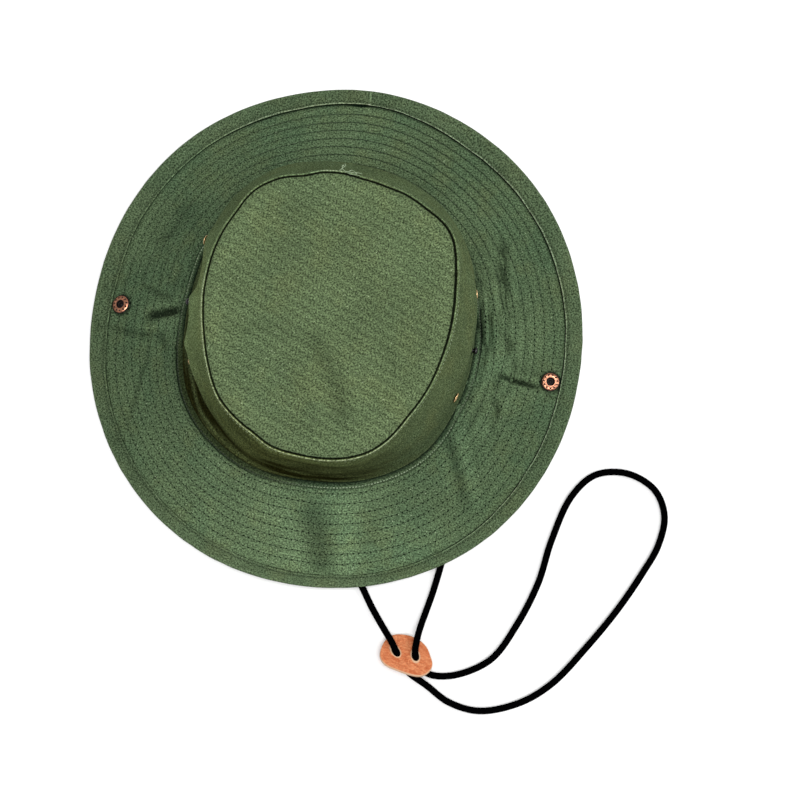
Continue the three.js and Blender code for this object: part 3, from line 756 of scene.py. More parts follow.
MATERIALS = {
    "crown": cloth_material("crown_cloth", paint(101, 118, 83), paint(94, 113, 81), paint(112, 124, 83),
                            paint(10, 15, 8), bands=0.1),
    "wall": cloth_material("wall_cloth", paint(96, 112, 77), paint(88, 107, 76), paint(106, 114, 73),
                           paint(28, 26, 4), speckle=0.7, mottle=0.12, grain=0.17),
    "brim": cloth_material("brim_cloth", paint(90, 109, 79), paint(76, 101, 75), paint(100, 111, 74),
                           paint(9, 22, 14)),
    "tape": cloth_material("tape_cloth", paint(94, 112, 82), paint(82, 104, 76), paint(104, 115, 80),
                           paint(14, 24, 16)),
    "quilt_thread": thread_material("quilt_thread", paint(96, 116, 84), paint(70, 88, 60)),
    "top_thread": thread_material("top_thread", paint(184, 202, 168), paint(140, 162, 126)),
    # Painted shadow for the needle's holes.
    "hole": plain_material("needle_hole_shadows", paint(20, 34, 20), Roughness=1.0, Specular_IOR_Level=0.0),
    "cord": cord_material(),
    "copper": plain_material("aged_copper", paint(222, 156, 124), 1.2, 0.06, 0.5, Roughness=0.36, Metallic=1.0),
    "brass": plain_material("brassy_copper", paint(255, 214, 158), 1.6, 0.05, 0.3, Roughness=0.25, Metallic=1.0),
    "black": plain_material("black_gloss", paint(4, 4, 4), 2.0, 0.02, 0.1, Roughness=0.14, Specular_IOR_Level=0.4),
    "tarnish": plain_material("black_tarnish", paint(22, 13, 10), 2.0, 0.04, 0.3,
                              Roughness=0.6, Specular_IOR_Level=0.2),
}


# Camera at the photo's angle above the floor

AZIMUTH, ELEVATION = math.radians(10), math.radians(79)
CAMERA_TARGET = Vector((0.045, -0.0336, 0))
CAMERA_DISTANCE = 1.35


def placed(name, data):
    """A new object in the scene."""
    made = bpy.data.objects.new(name, data)
    bpy.context.scene.collection.objects.link(made)
    return made


camera = placed("camera", bpy.data.cameras.new("camera"))
camera.data.lens = 100
camera.data.sensor_width = 36
back = Vector((
    math.sin(AZIMUTH) * math.cos(ELEVATION), -math.cos(AZIMUTH) * math.cos(ELEVATION), math.sin(ELEVATION),
))
camera.location = CAMERA_TARGET + back * CAMERA_DISTANCE
camera.rotation_mode = "QUATERNION"
camera.rotation_quaternion = (-back).to_track_quat("-Z", "Y")
bpy.context.scene.camera = camera


# Mesh helpers

def add_mesh(name, points, faces, materials, fields=None, picks=None, places=None):
    """A shown piece from points in metres and lists of faces with equal numbers of corners.

    Fields hold one row for each index that places gives to the faces' corners.
    """
    mesh = bpy.data.meshes.new(name)
    mesh.vertices.add(len(points))
    mesh.vertices.foreach_set("co", np.ascontiguousarray(points, dtype=np.float32).ravel())
    corners = np.concatenate([f.ravel() for f in faces])
    sizes = np.concatenate([np.full(len(f), f.shape[1]) for f in faces])
    mesh.loops.add(len(corners))
    mesh.loops.foreach_set("vertex_index", corners.astype(np.int32))
    mesh.polygons.add(len(sizes))
    mesh.polygons.foreach_set("loop_start", np.concatenate([[0], np.cumsum(sizes)[:-1]]).astype(np.int32))
    mesh.polygons.foreach_set("use_smooth", np.ones(len(sizes), bool))
    places = corners if places is None else places
    for field, values in (fields or {}).items():
        values = np.asarray(values, np.float32)[places]
        vector = values.ndim == 2
        layer = mesh.attributes.new(field, "FLOAT_VECTOR" if vector else "FLOAT", "CORNER")
        layer.data.foreach_set("vector" if vector else "value", values.ravel())
    for material in materials if isinstance(materials, list) else [materials]:
        mesh.materials.append(material)
    if picks is not None:
        mesh.polygons.foreach_set("material_index", picks.astype(np.int32))
    mesh.update(calc_edges=True)
    mesh.validate()
    return placed(name, mesh)


def own(piece, slot, *nodes):
    """Puts a piece on the body and hides the solids that it stands for. The slot is not used."""
    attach(piece, "root")
    if nodes:
        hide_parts(*nodes)
    return piece


def grid_faces(columns, rows, ring=True):
    """Quads between columns of points. With ring, the last row joins the first."""
    j, k = np.meshgrid(np.arange(columns - 1), np.arange(rows if ring else rows - 1), indexing="ij")
    up = (k + 1) % rows
    quads = np.stack([j * rows + k, (j + 1) * rows + k, (j + 1) * rows + up, j * rows + up], -1)
    return quads.reshape(-1, 4)


def ring_points(rows, angles):
    """Points of rows of reach and height, by angle and row."""
    reach, height = (np.stack([np.broadcast_to(row[k], angles.shape) for row in rows], 1) for k in (0, 1))
    return to_space(reach, height, angles[:, None])


def loft(name, rows, angles, materials, fields, holes=()):
    """A closed cloth from rows of reach and height round the hat, whose last angle is its first again.

    Holes are (middle, radius), cut through both faces of the cloth and closed round their edges.
    """
    points = ring_points(rows, angles)
    faces = grid_faces(*points.shape[:2])
    flat = points.reshape(-1, 3)
    for middle, radius in holes:
        away = np.linalg.norm(flat[faces].mean(1) - np.array(middle), axis=1)
        faces = faces[away > radius * MM]
    count = (len(angles) - 1) * len(rows)
    piece = add_mesh(name, flat[:count], [faces % count], materials, fields, places=faces.ravel())
    if holes:
        bm = bmesh.new()
        bm.from_mesh(piece.data)
        open_edges = [e for e in bm.edges if e.is_boundary]
        for middle, radius in holes:
            near = [e for e in open_edges if (e.verts[0].co - Vector(middle)).length < 3 * radius * MM]
            bmesh.ops.bridge_loops(bm, edges=near)
        bm.to_mesh(piece.data)
        bm.free()
    return piece


def unit(v):
    return v / np.linalg.norm(v, axis=-1, keepdims=True)


def frames(surface, degrees, along, side):
    """Places on a surface: point, direction round the hat, direction across it and the way it faces."""
    def at(d, a):
        return to_space(*surface(d, a), d)

    point = at(degrees, along)
    around_it = unit(at(degrees + 0.1, along) - at(degrees - 0.1, along))
    across = at(degrees, along + 2e-3) - at(degrees, along - 2e-3)
    out = unit(np.cross(across, around_it)) * side
    return point, around_it, np.cross(out, around_it), out


def spaced(surface, along, pitch, start):
    """Angles of marks with equal pitch round the hat along one line of a surface."""
    degrees = start + np.linspace(0, 360, 1441)
    run = distances(to_space(*surface(degrees, along), degrees)) / MM
    count = round(run[-1] / pitch)
    return np.interp((np.arange(count) + 0.5) * run[-1] / count, run, degrees)


def bead_template(rings, sides):
    """A bead along X: rings of (place, radius, height), closed at both ends."""
    turn = np.arange(sides) * 2 * np.pi / sides
    points = np.concatenate([
        np.stack([np.full(sides, x), r * np.cos(turn), h + r * np.sin(turn)], 1) for x, r, h in rings
    ])
    band = [[k * sides + i, (k + 1) * sides + i, (k + 1) * sides + (i + 1) % sides, k * sides + (i + 1) % sides]
            for k in range(len(rings) - 1) for i in range(sides)]
    ends = [list(range(sides))[::-1], list(range((len(rings) - 1) * sides, len(rings) * sides))]
    return points, np.array(band), np.array(ends)


STITCH = bead_template([(-0.5, 0.34, -0.75), (-0.3, 0.9, 0.05), (0.3, 0.9, 0.05), (0.5, 0.34, -0.75)], 5)
COARSE_STITCH = bead_template([(-0.5, 0.4, -0.7), (0, 0.9, 0.1), (0.5, 0.4, -0.7)], 4)
# Dark beads at the needle's holes: a painted shadow of each hole.
HOLE = bead_template([(-0.5, 0.6, -0.1), (0, 1, -0.1), (0.5, 0.6, -0.1)], 4)


def scatter(template, places, sizes):
    """Copies of a template at places from frames, with their length, width and rise in millimetres."""
    points, band, ends = template
    origin, along, across, out = places
    scale = np.asarray(sizes, float) * MM
    scale = np.broadcast_to(scale, (len(origin), 3))
    local = points[None] * scale[:, None]
    world = (origin[:, None] + local[..., :1] * along[:, None] + local[..., 1:2] * across[:, None]
             + local[..., 2:] * out[:, None])
    shift = (np.arange(len(origin)) * len(points))[:, None, None]
    return world.reshape(-1, 3), (band[None] + shift).reshape(-1, band.shape[1]), \
        (ends[None] + shift).reshape(-1, ends.shape[1])


def left_foot_shade(degrees, height):
    """Shade at the foot of the crown, but for the front right and the back."""
    left = band(degrees, 150, 200, 255, 282, 0.9)
    return (left + 0.85 * near_angle(degrees, 4, 40)) * (height < 50)


def back_shade(degrees, height):
    return 0.04 + 0.66 * near_angle(degrees, 78, 46)


def scattered(name, parts, material, shade=None):
    """One piece from several scatters, with its shade by angle and height."""
    points, faces, base = [], [], 0
    for p, *lists in parts:
        points.append(p)
        faces += [f + base for f in lists]
        base += len(p)
    points = np.concatenate(points)
    degrees = np.degrees(np.arctan2(points[:, 1] / MM + HAT_MIDDLE[1], points[:, 0] / MM)) % 360
    fields = {"shade": shade(degrees, points[:, 2] / MM)} if shade else None
    return add_mesh(name, points, faces, material, fields)


def stitch_sizes(count, length, width, rise):
    vary = rng.uniform(0.86, 1.14, (count, 3))
    return np.array([length, width / 2, rise / 2]) * vary


# Cord: one whole loop, laid on the surface

def cord_line(step):
    """The cord's middle line through CORD_ROUTE, in metres, at even steps."""
    p = np.array(CORD_ROUTE, float)
    p = np.concatenate([[2 * p[0] - p[1]], p, [2 * p[-1] - p[-2]]])
    out = []
    t = np.linspace(0, 1, 60, endpoint=False)[:, None]
    for a, b, c, d in zip(p[:-3], p[1:-2], p[2:-1], p[3:]):
        da, db, dc = (math.dist(u, v) ** 0.5 for u, v in ((a, b), (b, c), (c, d)))
        start = ((b - a) / da - (c - a) / (da + db) + (c - b) / db) * db
        end = ((c - b) / db - (d - b) / (db + dc) + (d - c) / dc) * db
        out.append(b + start * t + (-3 * b + 3 * c - 2 * start - end) * t**2 + (2 * b - 2 * c + start + end) * t**3)
    line = np.concatenate(out + [p[-2:-1]])
    run = distances(line)
    even = np.linspace(0, run[-1], round(run[-1] / step) + 1)
    line = points_at(even, run, line)
    return (line - [HAT_MIDDLE[0], HAT_MIDDLE[1], 0]) * MM, even


def tube(line, run, radius, sides, relief=0.0):
    """Points, faces and strand coordinates of a tube with closed ends."""
    tangent = unit(np.gradient(line, axis=0))
    side = np.zeros_like(line)
    side[0] = unit(np.cross(tangent[0], [0.1, 0.2, 1.0]))
    for k in range(1, len(line)):
        side[k] = side[k - 1] - tangent[k] * (side[k - 1] @ tangent[k])
        side[k] /= np.linalg.norm(side[k])
    other = np.cross(tangent, side)
    turn = np.linspace(0, 2 * np.pi, sides + 1)
    wave = np.sin(8 * turn[None] + 3.1 * run[:, None]) * np.sin(8 * turn[None] - 3.1 * run[:, None])
    r = (radius + relief * wave) * MM
    points = line[:, None] + r[..., None] * (
        np.cos(turn)[None, :, None] * side[:, None] + np.sin(turn)[None, :, None] * other[:, None])
    rows = sides + 1
    faces = grid_faces(len(line), rows, ring=False)[:, ::-1]
    points = np.concatenate([points.reshape(-1, 3), line[:1], line[-1:]])
    first, last = len(points) - 2, len(points) - 1
    k = np.arange(sides)
    caps = np.concatenate([
        np.stack([np.full(sides, first), k + 1, k], 1),
        np.stack([np.full(sides, last), (len(line) - 1) * rows + k, (len(line) - 1) * rows + k + 1], 1),
    ])
    strands = np.stack(np.broadcast_arrays(turn[None], run[:, None], 0.0), -1).reshape(-1, 3)
    return points, [faces, caps], np.concatenate([strands, np.zeros((2, 3))])


CORD_STEP = 0.75
cord_path, cord_run = cord_line(CORD_STEP)
cord_points, cord_faces, cord_strands = tube(cord_path, cord_run, CORD_DIAMETER / 2, 20, 0.03)
chin_cord = own(add_mesh("chin_cord_braid", cord_points, cord_faces, MATERIALS["cord"], {"braid": cord_strands}),
                "cord", "chin_cord")
print("cord length", round(cord_run[-1], 1))


# Slider: a tilted egg of leather that both lengths of the cord go through

SLIDER_THICKNESS = 3.0
SLIDER_MIDDLE = (75.6, -183.2, 5.3)
SLIDER_TURN = -4
SLIDER_TILT = 16
SLIDER_OUTLINE = [
    [-15.6, -2], [-14.6, 5], [-10.6, 10.2], [-3.6, 12.3], [4, 11.6], [10.3, 8.1], [14, 3],
    [16.4, -2], [15.2, -6.8], [11.2, -10.3], [5, -11.1], [-3, -10.4], [-10, -9.1], [-14, -6.3],
]
SLIDER_BORE = 2.3


def closed_curve(points, count):
    """A smooth closed curve through points, at even steps."""
    p = np.array(points, float)
    t = np.linspace(0, 1, 30, endpoint=False)[:, None]
    line = np.concatenate([
        cardinal(*(p[(k + s) % len(p)] for s in (-1, 0, 1, 2)), t) for k in range(len(p))
    ])
    line = np.concatenate([line, line[:1]])
    run = distances(line)
    even = np.linspace(0, run[-1], count, endpoint=False)
    return points_at(even, run, line)


def slider_plate(count=120):
    """The plate before its holes: rings of its outline, rounded at both edges, out from two middle points."""
    edge = closed_curve(SLIDER_OUTLINE, count)
    middle = edge.mean(0)
    inward = middle - edge
    inward /= np.linalg.norm(inward, axis=1, keepdims=True)
    half = SLIDER_THICKNESS / 2
    corner = 0.55
    flat = (0.25, 0.5, 0.75, 0.92)
    rings = [(middle + (edge - middle) * share, -half) for share in flat]
    for turn in np.linspace(-90, 90, 9):
        angle = math.radians(turn)
        level = math.copysign(half - corner, turn) + corner * math.sin(angle) if turn else 0
        rings.append((edge + inward * (corner - corner * math.cos(angle)), level))
    rings += [(middle + (edge - middle) * share, half) for share in flat[::-1]]
    points = np.concatenate([np.column_stack([p, np.full(count, z)]) for p, z in rings])
    quads = grid_faces(len(rings), count)[:, ::-1]
    first = list(range(count))
    last = [(len(rings) - 1) * count + k for k in range(count)]
    return points, quads, first, last


SLIDER_PLACE = np.array(SLIDER_MIDDLE) - [HAT_MIDDLE[0], HAT_MIDDLE[1], 0]


def slider_passes():
    """The two stretches of the cord at the slider: their places in cord_path and how far off its middle they are."""
    away = np.linalg.norm(cord_path / MM - SLIDER_PLACE, axis=1)
    near = np.flatnonzero(away < 15)
    return [(part, away[part]) for part in np.split(near, np.flatnonzero(np.diff(near) > 1) + 1)]


def slider_bores():
    """The stretches of the cord that go through the slider, as solid tubes."""
    for part, _ in slider_passes():
        points, faces, _ = tube(cord_path[part], cord_run[part], SLIDER_BORE, 20)
        yield points, faces


def bore_axes():
    """A point and the direction of each hole's axis at the slider, in millimetres."""
    for part, away in slider_passes():
        k = part[np.argmin(away)]
        yield tuple(cord_path[k] / MM), tuple(unit(cord_path[k + 2] - cord_path[k - 2]))


def outward(mesh, merge=None):
    """Turns a mesh's faces outward, with its points merged where merge gives a distance."""
    bm = bmesh.new()
    bm.from_mesh(mesh)
    if merge is not None:
        bmesh.ops.remove_doubles(bm, verts=bm.verts, dist=merge)
    bmesh.ops.recalc_face_normals(bm, faces=bm.faces)
    bm.to_mesh(mesh)
    bm.free()


def made_slider():
    points, quads, first, last = slider_plate()
    turn = Matrix.Rotation(math.radians(SLIDER_TURN), 4, "Z") @ Matrix.Rotation(-math.radians(SLIDER_TILT), 4, "X")
    place = Matrix.Translation(SLIDER_PLACE) @ turn
    place = np.array(Matrix.Scale(MM, 4) @ place)
    world = points @ place[:3, :3].T + place[:3, 3]
    plate = bpy.data.meshes.new("slider_plate")
    plate.from_pydata(world.tolist(), [], quads.tolist() + [first, last[::-1]])
    outward(plate)
    body = placed("slider_body", plate)
    cutters = []
    for p, (sides, caps) in slider_bores():
        mesh = bpy.data.meshes.new("bore")
        mesh.from_pydata(p.tolist(), [], sides.tolist() + caps.tolist())
        outward(mesh, 1e-6)
        cutters.append(placed("bore", mesh))
        cut = body.modifiers.new("bore", "BOOLEAN")
        cut.object = cutters[-1]
        cut.solver = "EXACT"
    done = bpy.data.meshes.new_from_object(body.evaluated_get(bpy.context.evaluated_depsgraph_get()))
    for o in [body, *cutters]:
        bpy.data.objects.remove(o)
    up = Vector(place[:3, 2]).normalized()
    cut = done.attributes.new("cut", "FLOAT", "FACE")
    cut.data.foreach_set("value", [smooth(0.93, 0.75, abs(f.normal.dot(up))) for f in done.polygons])
    done.materials.clear()
    done.materials.append(leather_material(list(bore_axes())))
    done.shade_smooth()
    piece = placed("leather_slider", done)
    edges = piece.modifiers.new("edges", "EDGE_SPLIT")
    edges.split_angle = math.radians(38)
    return own(piece, "leather", "cord_slider")


leather_slider = made_slider()


# Brim: two layers of cloth, quilted

BRIM_JOIN = 92.6
CLOTH_GAP = 0.5
TAPE_CLOTH = 1.0
brim_angles = BRIM_JOIN + np.linspace(0, 360, 721)


def inside_wall(degrees, climb, depth):
    return moved(wall_line, degrees, climb, CROWN_CLOTH / 2 + CLOTH_GAP + depth)


def at_rim(degrees, level):
    """The brim's own edge, inside the tape."""
    reach = around("edgeReach", degrees) - TAPE_BED + BRIM_CLOTH / 2
    return reach, edge_foot(degrees) + TAPE_BED + level


def rows_of(surface, degrees, places):
    return [surface(degrees, p) for p in places]


def shaded_side(degrees):
    """1 from the front right round to the back left, where the tape's inner edge is crisp and dark."""
    return band(turn_between(degrees, 0), -75, -35, 118, 150)


def brim_shade(degrees, share):
    """Painted shade at the rows of stitches, along the tape's inner edge, in the creases, round the snaps and round
    the crown's foot; painted light at the front and on the puckers' rises.
    """
    wide = around("edgeReach", degrees) - around("baseReach", degrees)
    row = (share - QUILT_FIRST) / QUILT_PITCH
    off = np.abs(row - np.round(row)) * QUILT_PITCH * wide
    rows = hump(off, 0.36) * (row > -0.3)
    deep = 0.04 + 0.6 * near_angle(degrees, 78, 46)
    crisp = shaded_side(degrees)
    gap = 1.4 * near_angle(degrees, 94.6, 2.0)
    tape = (0.6 + 0.38 * crisp) * smooth(1.1 + 0.3 * crisp + gap, 0.5 + gap, (1 - share) * wide)
    reach, _ = brim_line(degrees, share)
    x, y = plan(reach, degrees)
    valleys = np.where(y < -60, 0.26, 0.44) * np.clip(-creases(x, y, BRIM_CREASES) - 0.4, 0, 1.6)
    valleys = valleys + 0.5 * np.clip(-brim_drag(degrees, share) - 0.12, 0, 1) \
        - 0.2 * np.clip(brim_drag(degrees, share), 0, 1)
    lit = 0.48 * near_angle(degrees, 272, 36)
    foot = 0.66 * hump(share * wide, 2.3)
    foot = np.maximum(foot, left_front(degrees) * 0.72 * (1 - smooth(1.5, 9, share * wide)))
    line = 0.72 * hump((share - MARGIN_SHARE) * wide - 0.95, 0.5) \
        + 0.3 * (1 - left_front(degrees)) * (1 - smooth(2.6, 3.6, share * wide))
    border = 0.85 * snap_shadow(degrees, share)
    return np.clip(rows * deep + tape + foot + line + valleys + border, 0, 0.97) - lit * smooth(0.05, 0.12, share)


def left_front(degrees):
    return band(degrees % 360, 184, 206, 236, 268)


def brim_olive(degrees, share):
    """Olive tint within the painted shadow beside the crown, from the left round to the front."""
    wide = around("edgeReach", degrees) - around("baseReach", degrees)
    return 0.35 * left_front(degrees) * (1 - smooth(2, 6, share * wide))


def brim_fields(rows, places, relief):
    """Weave coordinates, relief and shade for rows, where places gives each row's share or None."""
    flat = [np.stack(plan(np.broadcast_to(r, brim_angles.shape), brim_angles), -1) for r, _ in rows]
    weave = np.concatenate([np.stack(flat, 1), np.zeros((len(brim_angles), len(rows), 1))], -1)
    none = np.zeros(len(brim_angles))
    fields = {"weave": weave.reshape(-1, 3)}
    for name, field in (("relief", relief), ("shade", brim_shade), ("olive", brim_olive)):
        fields[name] = np.stack([none if p is None else field(brim_angles, p) for p in places], 1).ravel()
    return fields


def run_along(rows):
    """Distance along the rows of an outline, as a mean round the hat, in millimetres."""
    steps = [np.mean(np.hypot(b[0] - a[0], b[1] - a[1])) for a, b in zip(rows[:-1], rows[1:])]
    return np.concatenate([[0], np.cumsum(steps)])


def middle_rows(side):
    """The hidden faces between the two layers, from the allowance out to the rim."""
    hidden = rows_of(lambda d, s: moved(bent_brim, d, s, -side * 0.2), brim_angles, np.linspace(0.08, 1.0, 12))
    allowance = [inside_wall(brim_angles, c, BRIM_CLOTH / 2 - side * 0.03) for c in (0.1, 0.03)]
    return allowance + hidden + [at_rim(brim_angles, -side * 0.1)]


QUILT_LINES = [QUILT_FIRST + QUILT_PITCH * k for k in range(QUILT_ROWS)]


def steps_through(marks, counts):
    """Places that pass through every mark, with a number of steps between each two."""
    spans = [np.linspace(a, b, n, endpoint=False) for a, b, n in zip(marks[:-1], marks[1:], counts)]
    return list(np.concatenate(spans + [[marks[-1]]]))


top_shares = steps_through([0, MARGIN_SHARE, *QUILT_LINES, 1], [9, 7] + [10] * 7 + [14])[::-1]
hidden_rows = middle_rows(1) + [at_rim(brim_angles, BRIM_CLOTH / 2)]
upper = hidden_rows + rows_of(brim_top, brim_angles, top_shares)
upper_places = [None] * len(hidden_rows) + top_shares
upper += [inside_wall(brim_angles, c, 0.0) for c in (0.012, 0.05, 0.1)]
upper_places += [None] * 3
brim_upper = own(loft("brim_upper", upper, brim_angles, MATERIALS["brim"],
                      brim_fields(upper, upper_places, brim_relief)), "brim_cloth", "brim")

under_shares = list(np.linspace(0.03, 1.0, 56))
lower = [inside_wall(brim_angles, c, BRIM_CLOTH) for c in (0.1, 0.06, 0.02)]
lower += rows_of(brim_bottom, brim_angles, under_shares) + [at_rim(brim_angles, -BRIM_CLOTH / 2)]
lower_places = [None] * 3 + under_shares + [None]
back_rows = middle_rows(-1)[::-1]
brim_under = own(loft("brim_under", lower + back_rows, brim_angles, MATERIALS["brim"],
                      brim_fields(lower + back_rows, lower_places + [None] * len(back_rows), brim_under_puff)),
                 "brim_cloth", "brim")


# Crown: wall and top panel

wall_angles = SEAM_BACK + np.linspace(0, 360, 601)
climbs = list(np.concatenate([np.linspace(0, 0.95, 92), np.linspace(0.955, 1.0, 10)]))
inner_climbs = list(np.linspace(1.0, 0, 16))
EDGE_TURNS = (30, 60, 90, 120, 150)


def wall_edge(degrees, angle):
    """The rounded upper edge of the wall's cloth."""
    out_r, out_z = wall_out(degrees, 1.0)
    in_r, in_z = wall_in(degrees, 1.0)
    mid_r, mid_z = (out_r + in_r) / 2, (out_z + in_z) / 2
    half_r, half_z = (out_r - in_r) / 2, (out_z - in_z) / 2
    turn = math.radians(angle)
    return (mid_r + half_r * math.cos(turn) - half_z * math.sin(turn),
            mid_z + half_z * math.cos(turn) + half_r * math.sin(turn))


wall = rows_of(wall_out, wall_angles, climbs)
wall += [wall_edge(wall_angles, a) for a in EDGE_TURNS]
wall += rows_of(wall_in, wall_angles, inner_climbs)
wall_places = climbs + [1.0] * len(EDGE_TURNS) + inner_climbs
arc = np.radians(wall_angles - SEAM_BACK) * 90
rise = np.stack([wall_relief(wall_angles, c) for c in wall_places], 1)


def wall_shade(degrees, climb):
    """Painted shade in the recess under the crown's overhang, from the left round to the front, and on the front wall
    above it, with painted light and shade of folds and a painted dark line at the foot all round; painted light on
    the left bulge.
    """
    around_front = band(degrees % 360, 176, 200, 272, 316)
    left_foot = near_angle(degrees, 186, 24)
    low = 1 - smooth(0.24, 0.56, climb)
    arc = np.radians(turn_between(degrees, 180)) * WALL_RADIUS
    streaks = lattice_noise(arc / 26, climb * 20 + arc / 34, 0, 61) + 0.5 * lattice_noise(arc / 14, climb * 42, 0, 62)
    bars = lattice_noise(arc / 26, climb * 17 + arc / 30, 0, 63) + 0.5 * lattice_noise(arc / 12, climb * 36, 0, 64)
    deeper = 0.58 + 0.32 * smooth(0.04, 0.3, climb)
    dark = low * (deeper * around_front + 0.1 + 0.5 * left_foot * (1 - around_front)) + 0.55 * hump(climb, 0.022)
    dark = dark - 0.4 * streaks * low * around_front
    front = near_angle(degrees, 262, 46)
    dark = dark + front * (1 - low) * (0.42 + 0.52 * (1 - smooth(0.52, 0.95, climb)) + 0.3 * bars)
    # Painted light on the left bulge.
    wear_and_painted_light = 0.75 * near_angle(degrees, 186, 30) * smooth(0.5, 0.62, climb)
    return np.clip(dark, 0, 0.95) - wear_and_painted_light


def ridge_shade(degrees, turn):
    """The upper edge: a painted highlight, palest from the left round to the front, and painted shade on its inner
    side.
    """
    pale = 0.6 + band(degrees % 360, 150, 185, 300, 352, 0.9)
    pale = pale + 0.9 * near_angle(degrees, 100, 12)
    return -pale * (1 - smooth(75, 100, turn)) + 0.6 * smooth(95, 140, turn)


wall_dark = np.stack([
    *(wall_shade(wall_angles, c) for c in climbs),
    *(ridge_shade(wall_angles, a) for a in EDGE_TURNS),
    *(wall_shade(wall_angles, c) for c in inner_climbs),
], 1)
olive = band(wall_angles % 360, 150, 190, 268, 318)
olive = olive * (0.16 + 0.26 * smooth(205, 255, wall_angles % 360))
wall_tint = np.repeat(olive[:, None], len(wall), 1)
weave = np.stack(np.broadcast_arrays(arc[:, None], run_along(wall)[None], 0.0), -1)
eyelets = [(PLACES[f["name"]][0], 2.3) for f in FITTINGS if f["kind"] == "eyelet"]
crown_wall = own(loft("crown_wall", wall, wall_angles, MATERIALS["wall"],
                      {"weave": weave.reshape(-1, 3), "relief": rise.ravel(), "shade": wall_dark.ravel(),
                       "olive": wall_tint.ravel()}, eyelets),
                 "crown_cloth", "crown_side")


def crown_panel():
    """The top panel: its outer face from the middle to the foot of its allowance, then its inner face back."""
    angles = np.linspace(0, 360, 481)[:-1]
    shares = list(np.linspace(0, 1, 78))[1:] + [1.1, 1.2, 1.3, 1.4, 1.5, 1.6, 1.8, 2.0, 2.5, 3.0]
    inside = [3.0, 2.5, 2.0, 1.7, 1.4, 1.0, 0.8, 0.6, 0.4, 0.2]
    rows = [top_panel(angles, s) for s in shares] + [top_panel(angles, s, CROWN_CLOTH) for s in inside]
    points = ring_points(rows, angles).reshape(-1, 3)
    count, size = len(angles), len(rows)
    j = np.arange(count)
    after = (j + 1) % count
    k = np.arange(size - 1)
    quads = np.stack([
        j[:, None] * size + k, j[:, None] * size + k + 1, after[:, None] * size + k + 1, after[:, None] * size + k,
    ], -1).reshape(-1, 4)
    poles = [to_space(0, top_panel(0, 0, d)[1], 0) for d in (0, CROWN_CLOTH)]
    points = np.concatenate([points, poles])
    top, bottom = len(points) - 2, len(points) - 1
    fans = np.concatenate([
        np.stack([np.full(count, top), j * size, after * size], 1),
        np.stack([np.full(count, bottom), after * size + size - 1, j * size + size - 1], 1),
    ])
    weave = points / MM * [1, 1, 0]
    rise = np.stack([top_relief(angles, min(s, 1)) for s in shares + inside], 1).ravel()
    # Painted shade: the shoulder goes near black, so that the seam shows as a dark groove, wider from the right round
    # to the back.
    thick = 0.3 * smooth(-30, 15, turn_between(angles, 0)) - 0.06 - 0.12 * near_angle(angles, 290, 50)
    thick = thick * (1 - smooth(118, 150, turn_between(angles, 0)))
    dark = [0.97 * smooth(1.38 - thick, 1.62 - thick, s) * (1 - smooth(2, 2.5, s)) for s in shares]
    dark = np.stack(dark + [np.zeros_like(thick)] * len(inside), 1).ravel()
    return add_mesh("crown_panel", points, [quads, fans], MATERIALS["crown"], {
        "weave": weave, "relief": np.concatenate([rise, [0, 0]]), "shade": np.concatenate([dark, [0, 0]]),
    })


crown_top = own(crown_panel(), "crown_cloth", "crown_top")


# Tape folded round the brim's edge

tape_angles = TAPE_JOIN + np.linspace(0, 360, 901)


def tape_under(degrees, across):
    """The tape's lower face, from its inner edge at across 0 to its outer edge at across 1."""
    reach, _ = tape_top(degrees, across)
    lift = 0.35 * hump(across * around("tapeWidth", degrees) - 1.7, 0.6) + 0.25 * smooth(0.1, 0.0, across)
    return reach, edge_foot(degrees) + 0.02 + lift


def tape_edge(degrees, turn):
    """The tape's rounded outer edge, from -90 below to 90 above."""
    reach, _ = tape_top(degrees, 1.0)
    arc = np.radians(degrees) * EDGE_RADIUS
    swell = 1.9 + 0.12 * lattice_noise(arc / 7, 0, 0, 55)
    angle = math.radians(turn)
    level = TAPE_BED - 0.05
    return reach + swell * math.cos(angle) ** 0.8, edge_foot(degrees) + TAPE_BED + level * math.sin(angle)


TAPE_TURNS = (-75, -50, -25, 0, 25, 50, 75)
TAPE_RELIEF = 2.4
across_under = [0.0, 0.06, 0.12, 0.18, 0.24, 0.3, 0.4, 0.6, 0.8]
across_over = [1.0, 0.9, 0.8, 0.7, 0.6, 0.5, 0.42, 0.34, 0.28, 0.23, 0.18, 0.13, 0.08, 0.04, 0.0]
tape = rows_of(tape_under, tape_angles, across_under)
tape += [tape_edge(tape_angles, t) for t in TAPE_TURNS]
tape += rows_of(tape_top, tape_angles, across_over)
tape += [(tape_reach(tape_angles) - 0.15, edge_foot(tape_angles) + 2 * TAPE_BED - 0.6)]
for level in (2 * TAPE_BED - TAPE_CLOTH, TAPE_CLOTH):
    ends = [tape_reach(tape_angles), around("edgeReach", tape_angles) - TAPE_CLOTH]
    for reach in ends if level > TAPE_BED else ends[::-1]:
        tape.append((reach, edge_foot(tape_angles) + level))
tape_arc = np.radians(tape_angles - TAPE_JOIN) * 152
tape_run = run_along(tape)
tape_weave = np.stack(np.broadcast_arrays(tape_arc[:, None], tape_run[None], 0.0), -1).reshape(-1, 3)
top_rows = range(len(across_under) + len(TAPE_TURNS), len(across_under) + len(TAPE_TURNS) + len(across_over))
tape_rise = np.stack([(h - edge_foot(tape_angles) - 2 * TAPE_BED) * TAPE_RELIEF * (k in top_rows)
                      for k, (_, h) in enumerate(tape)], 1)
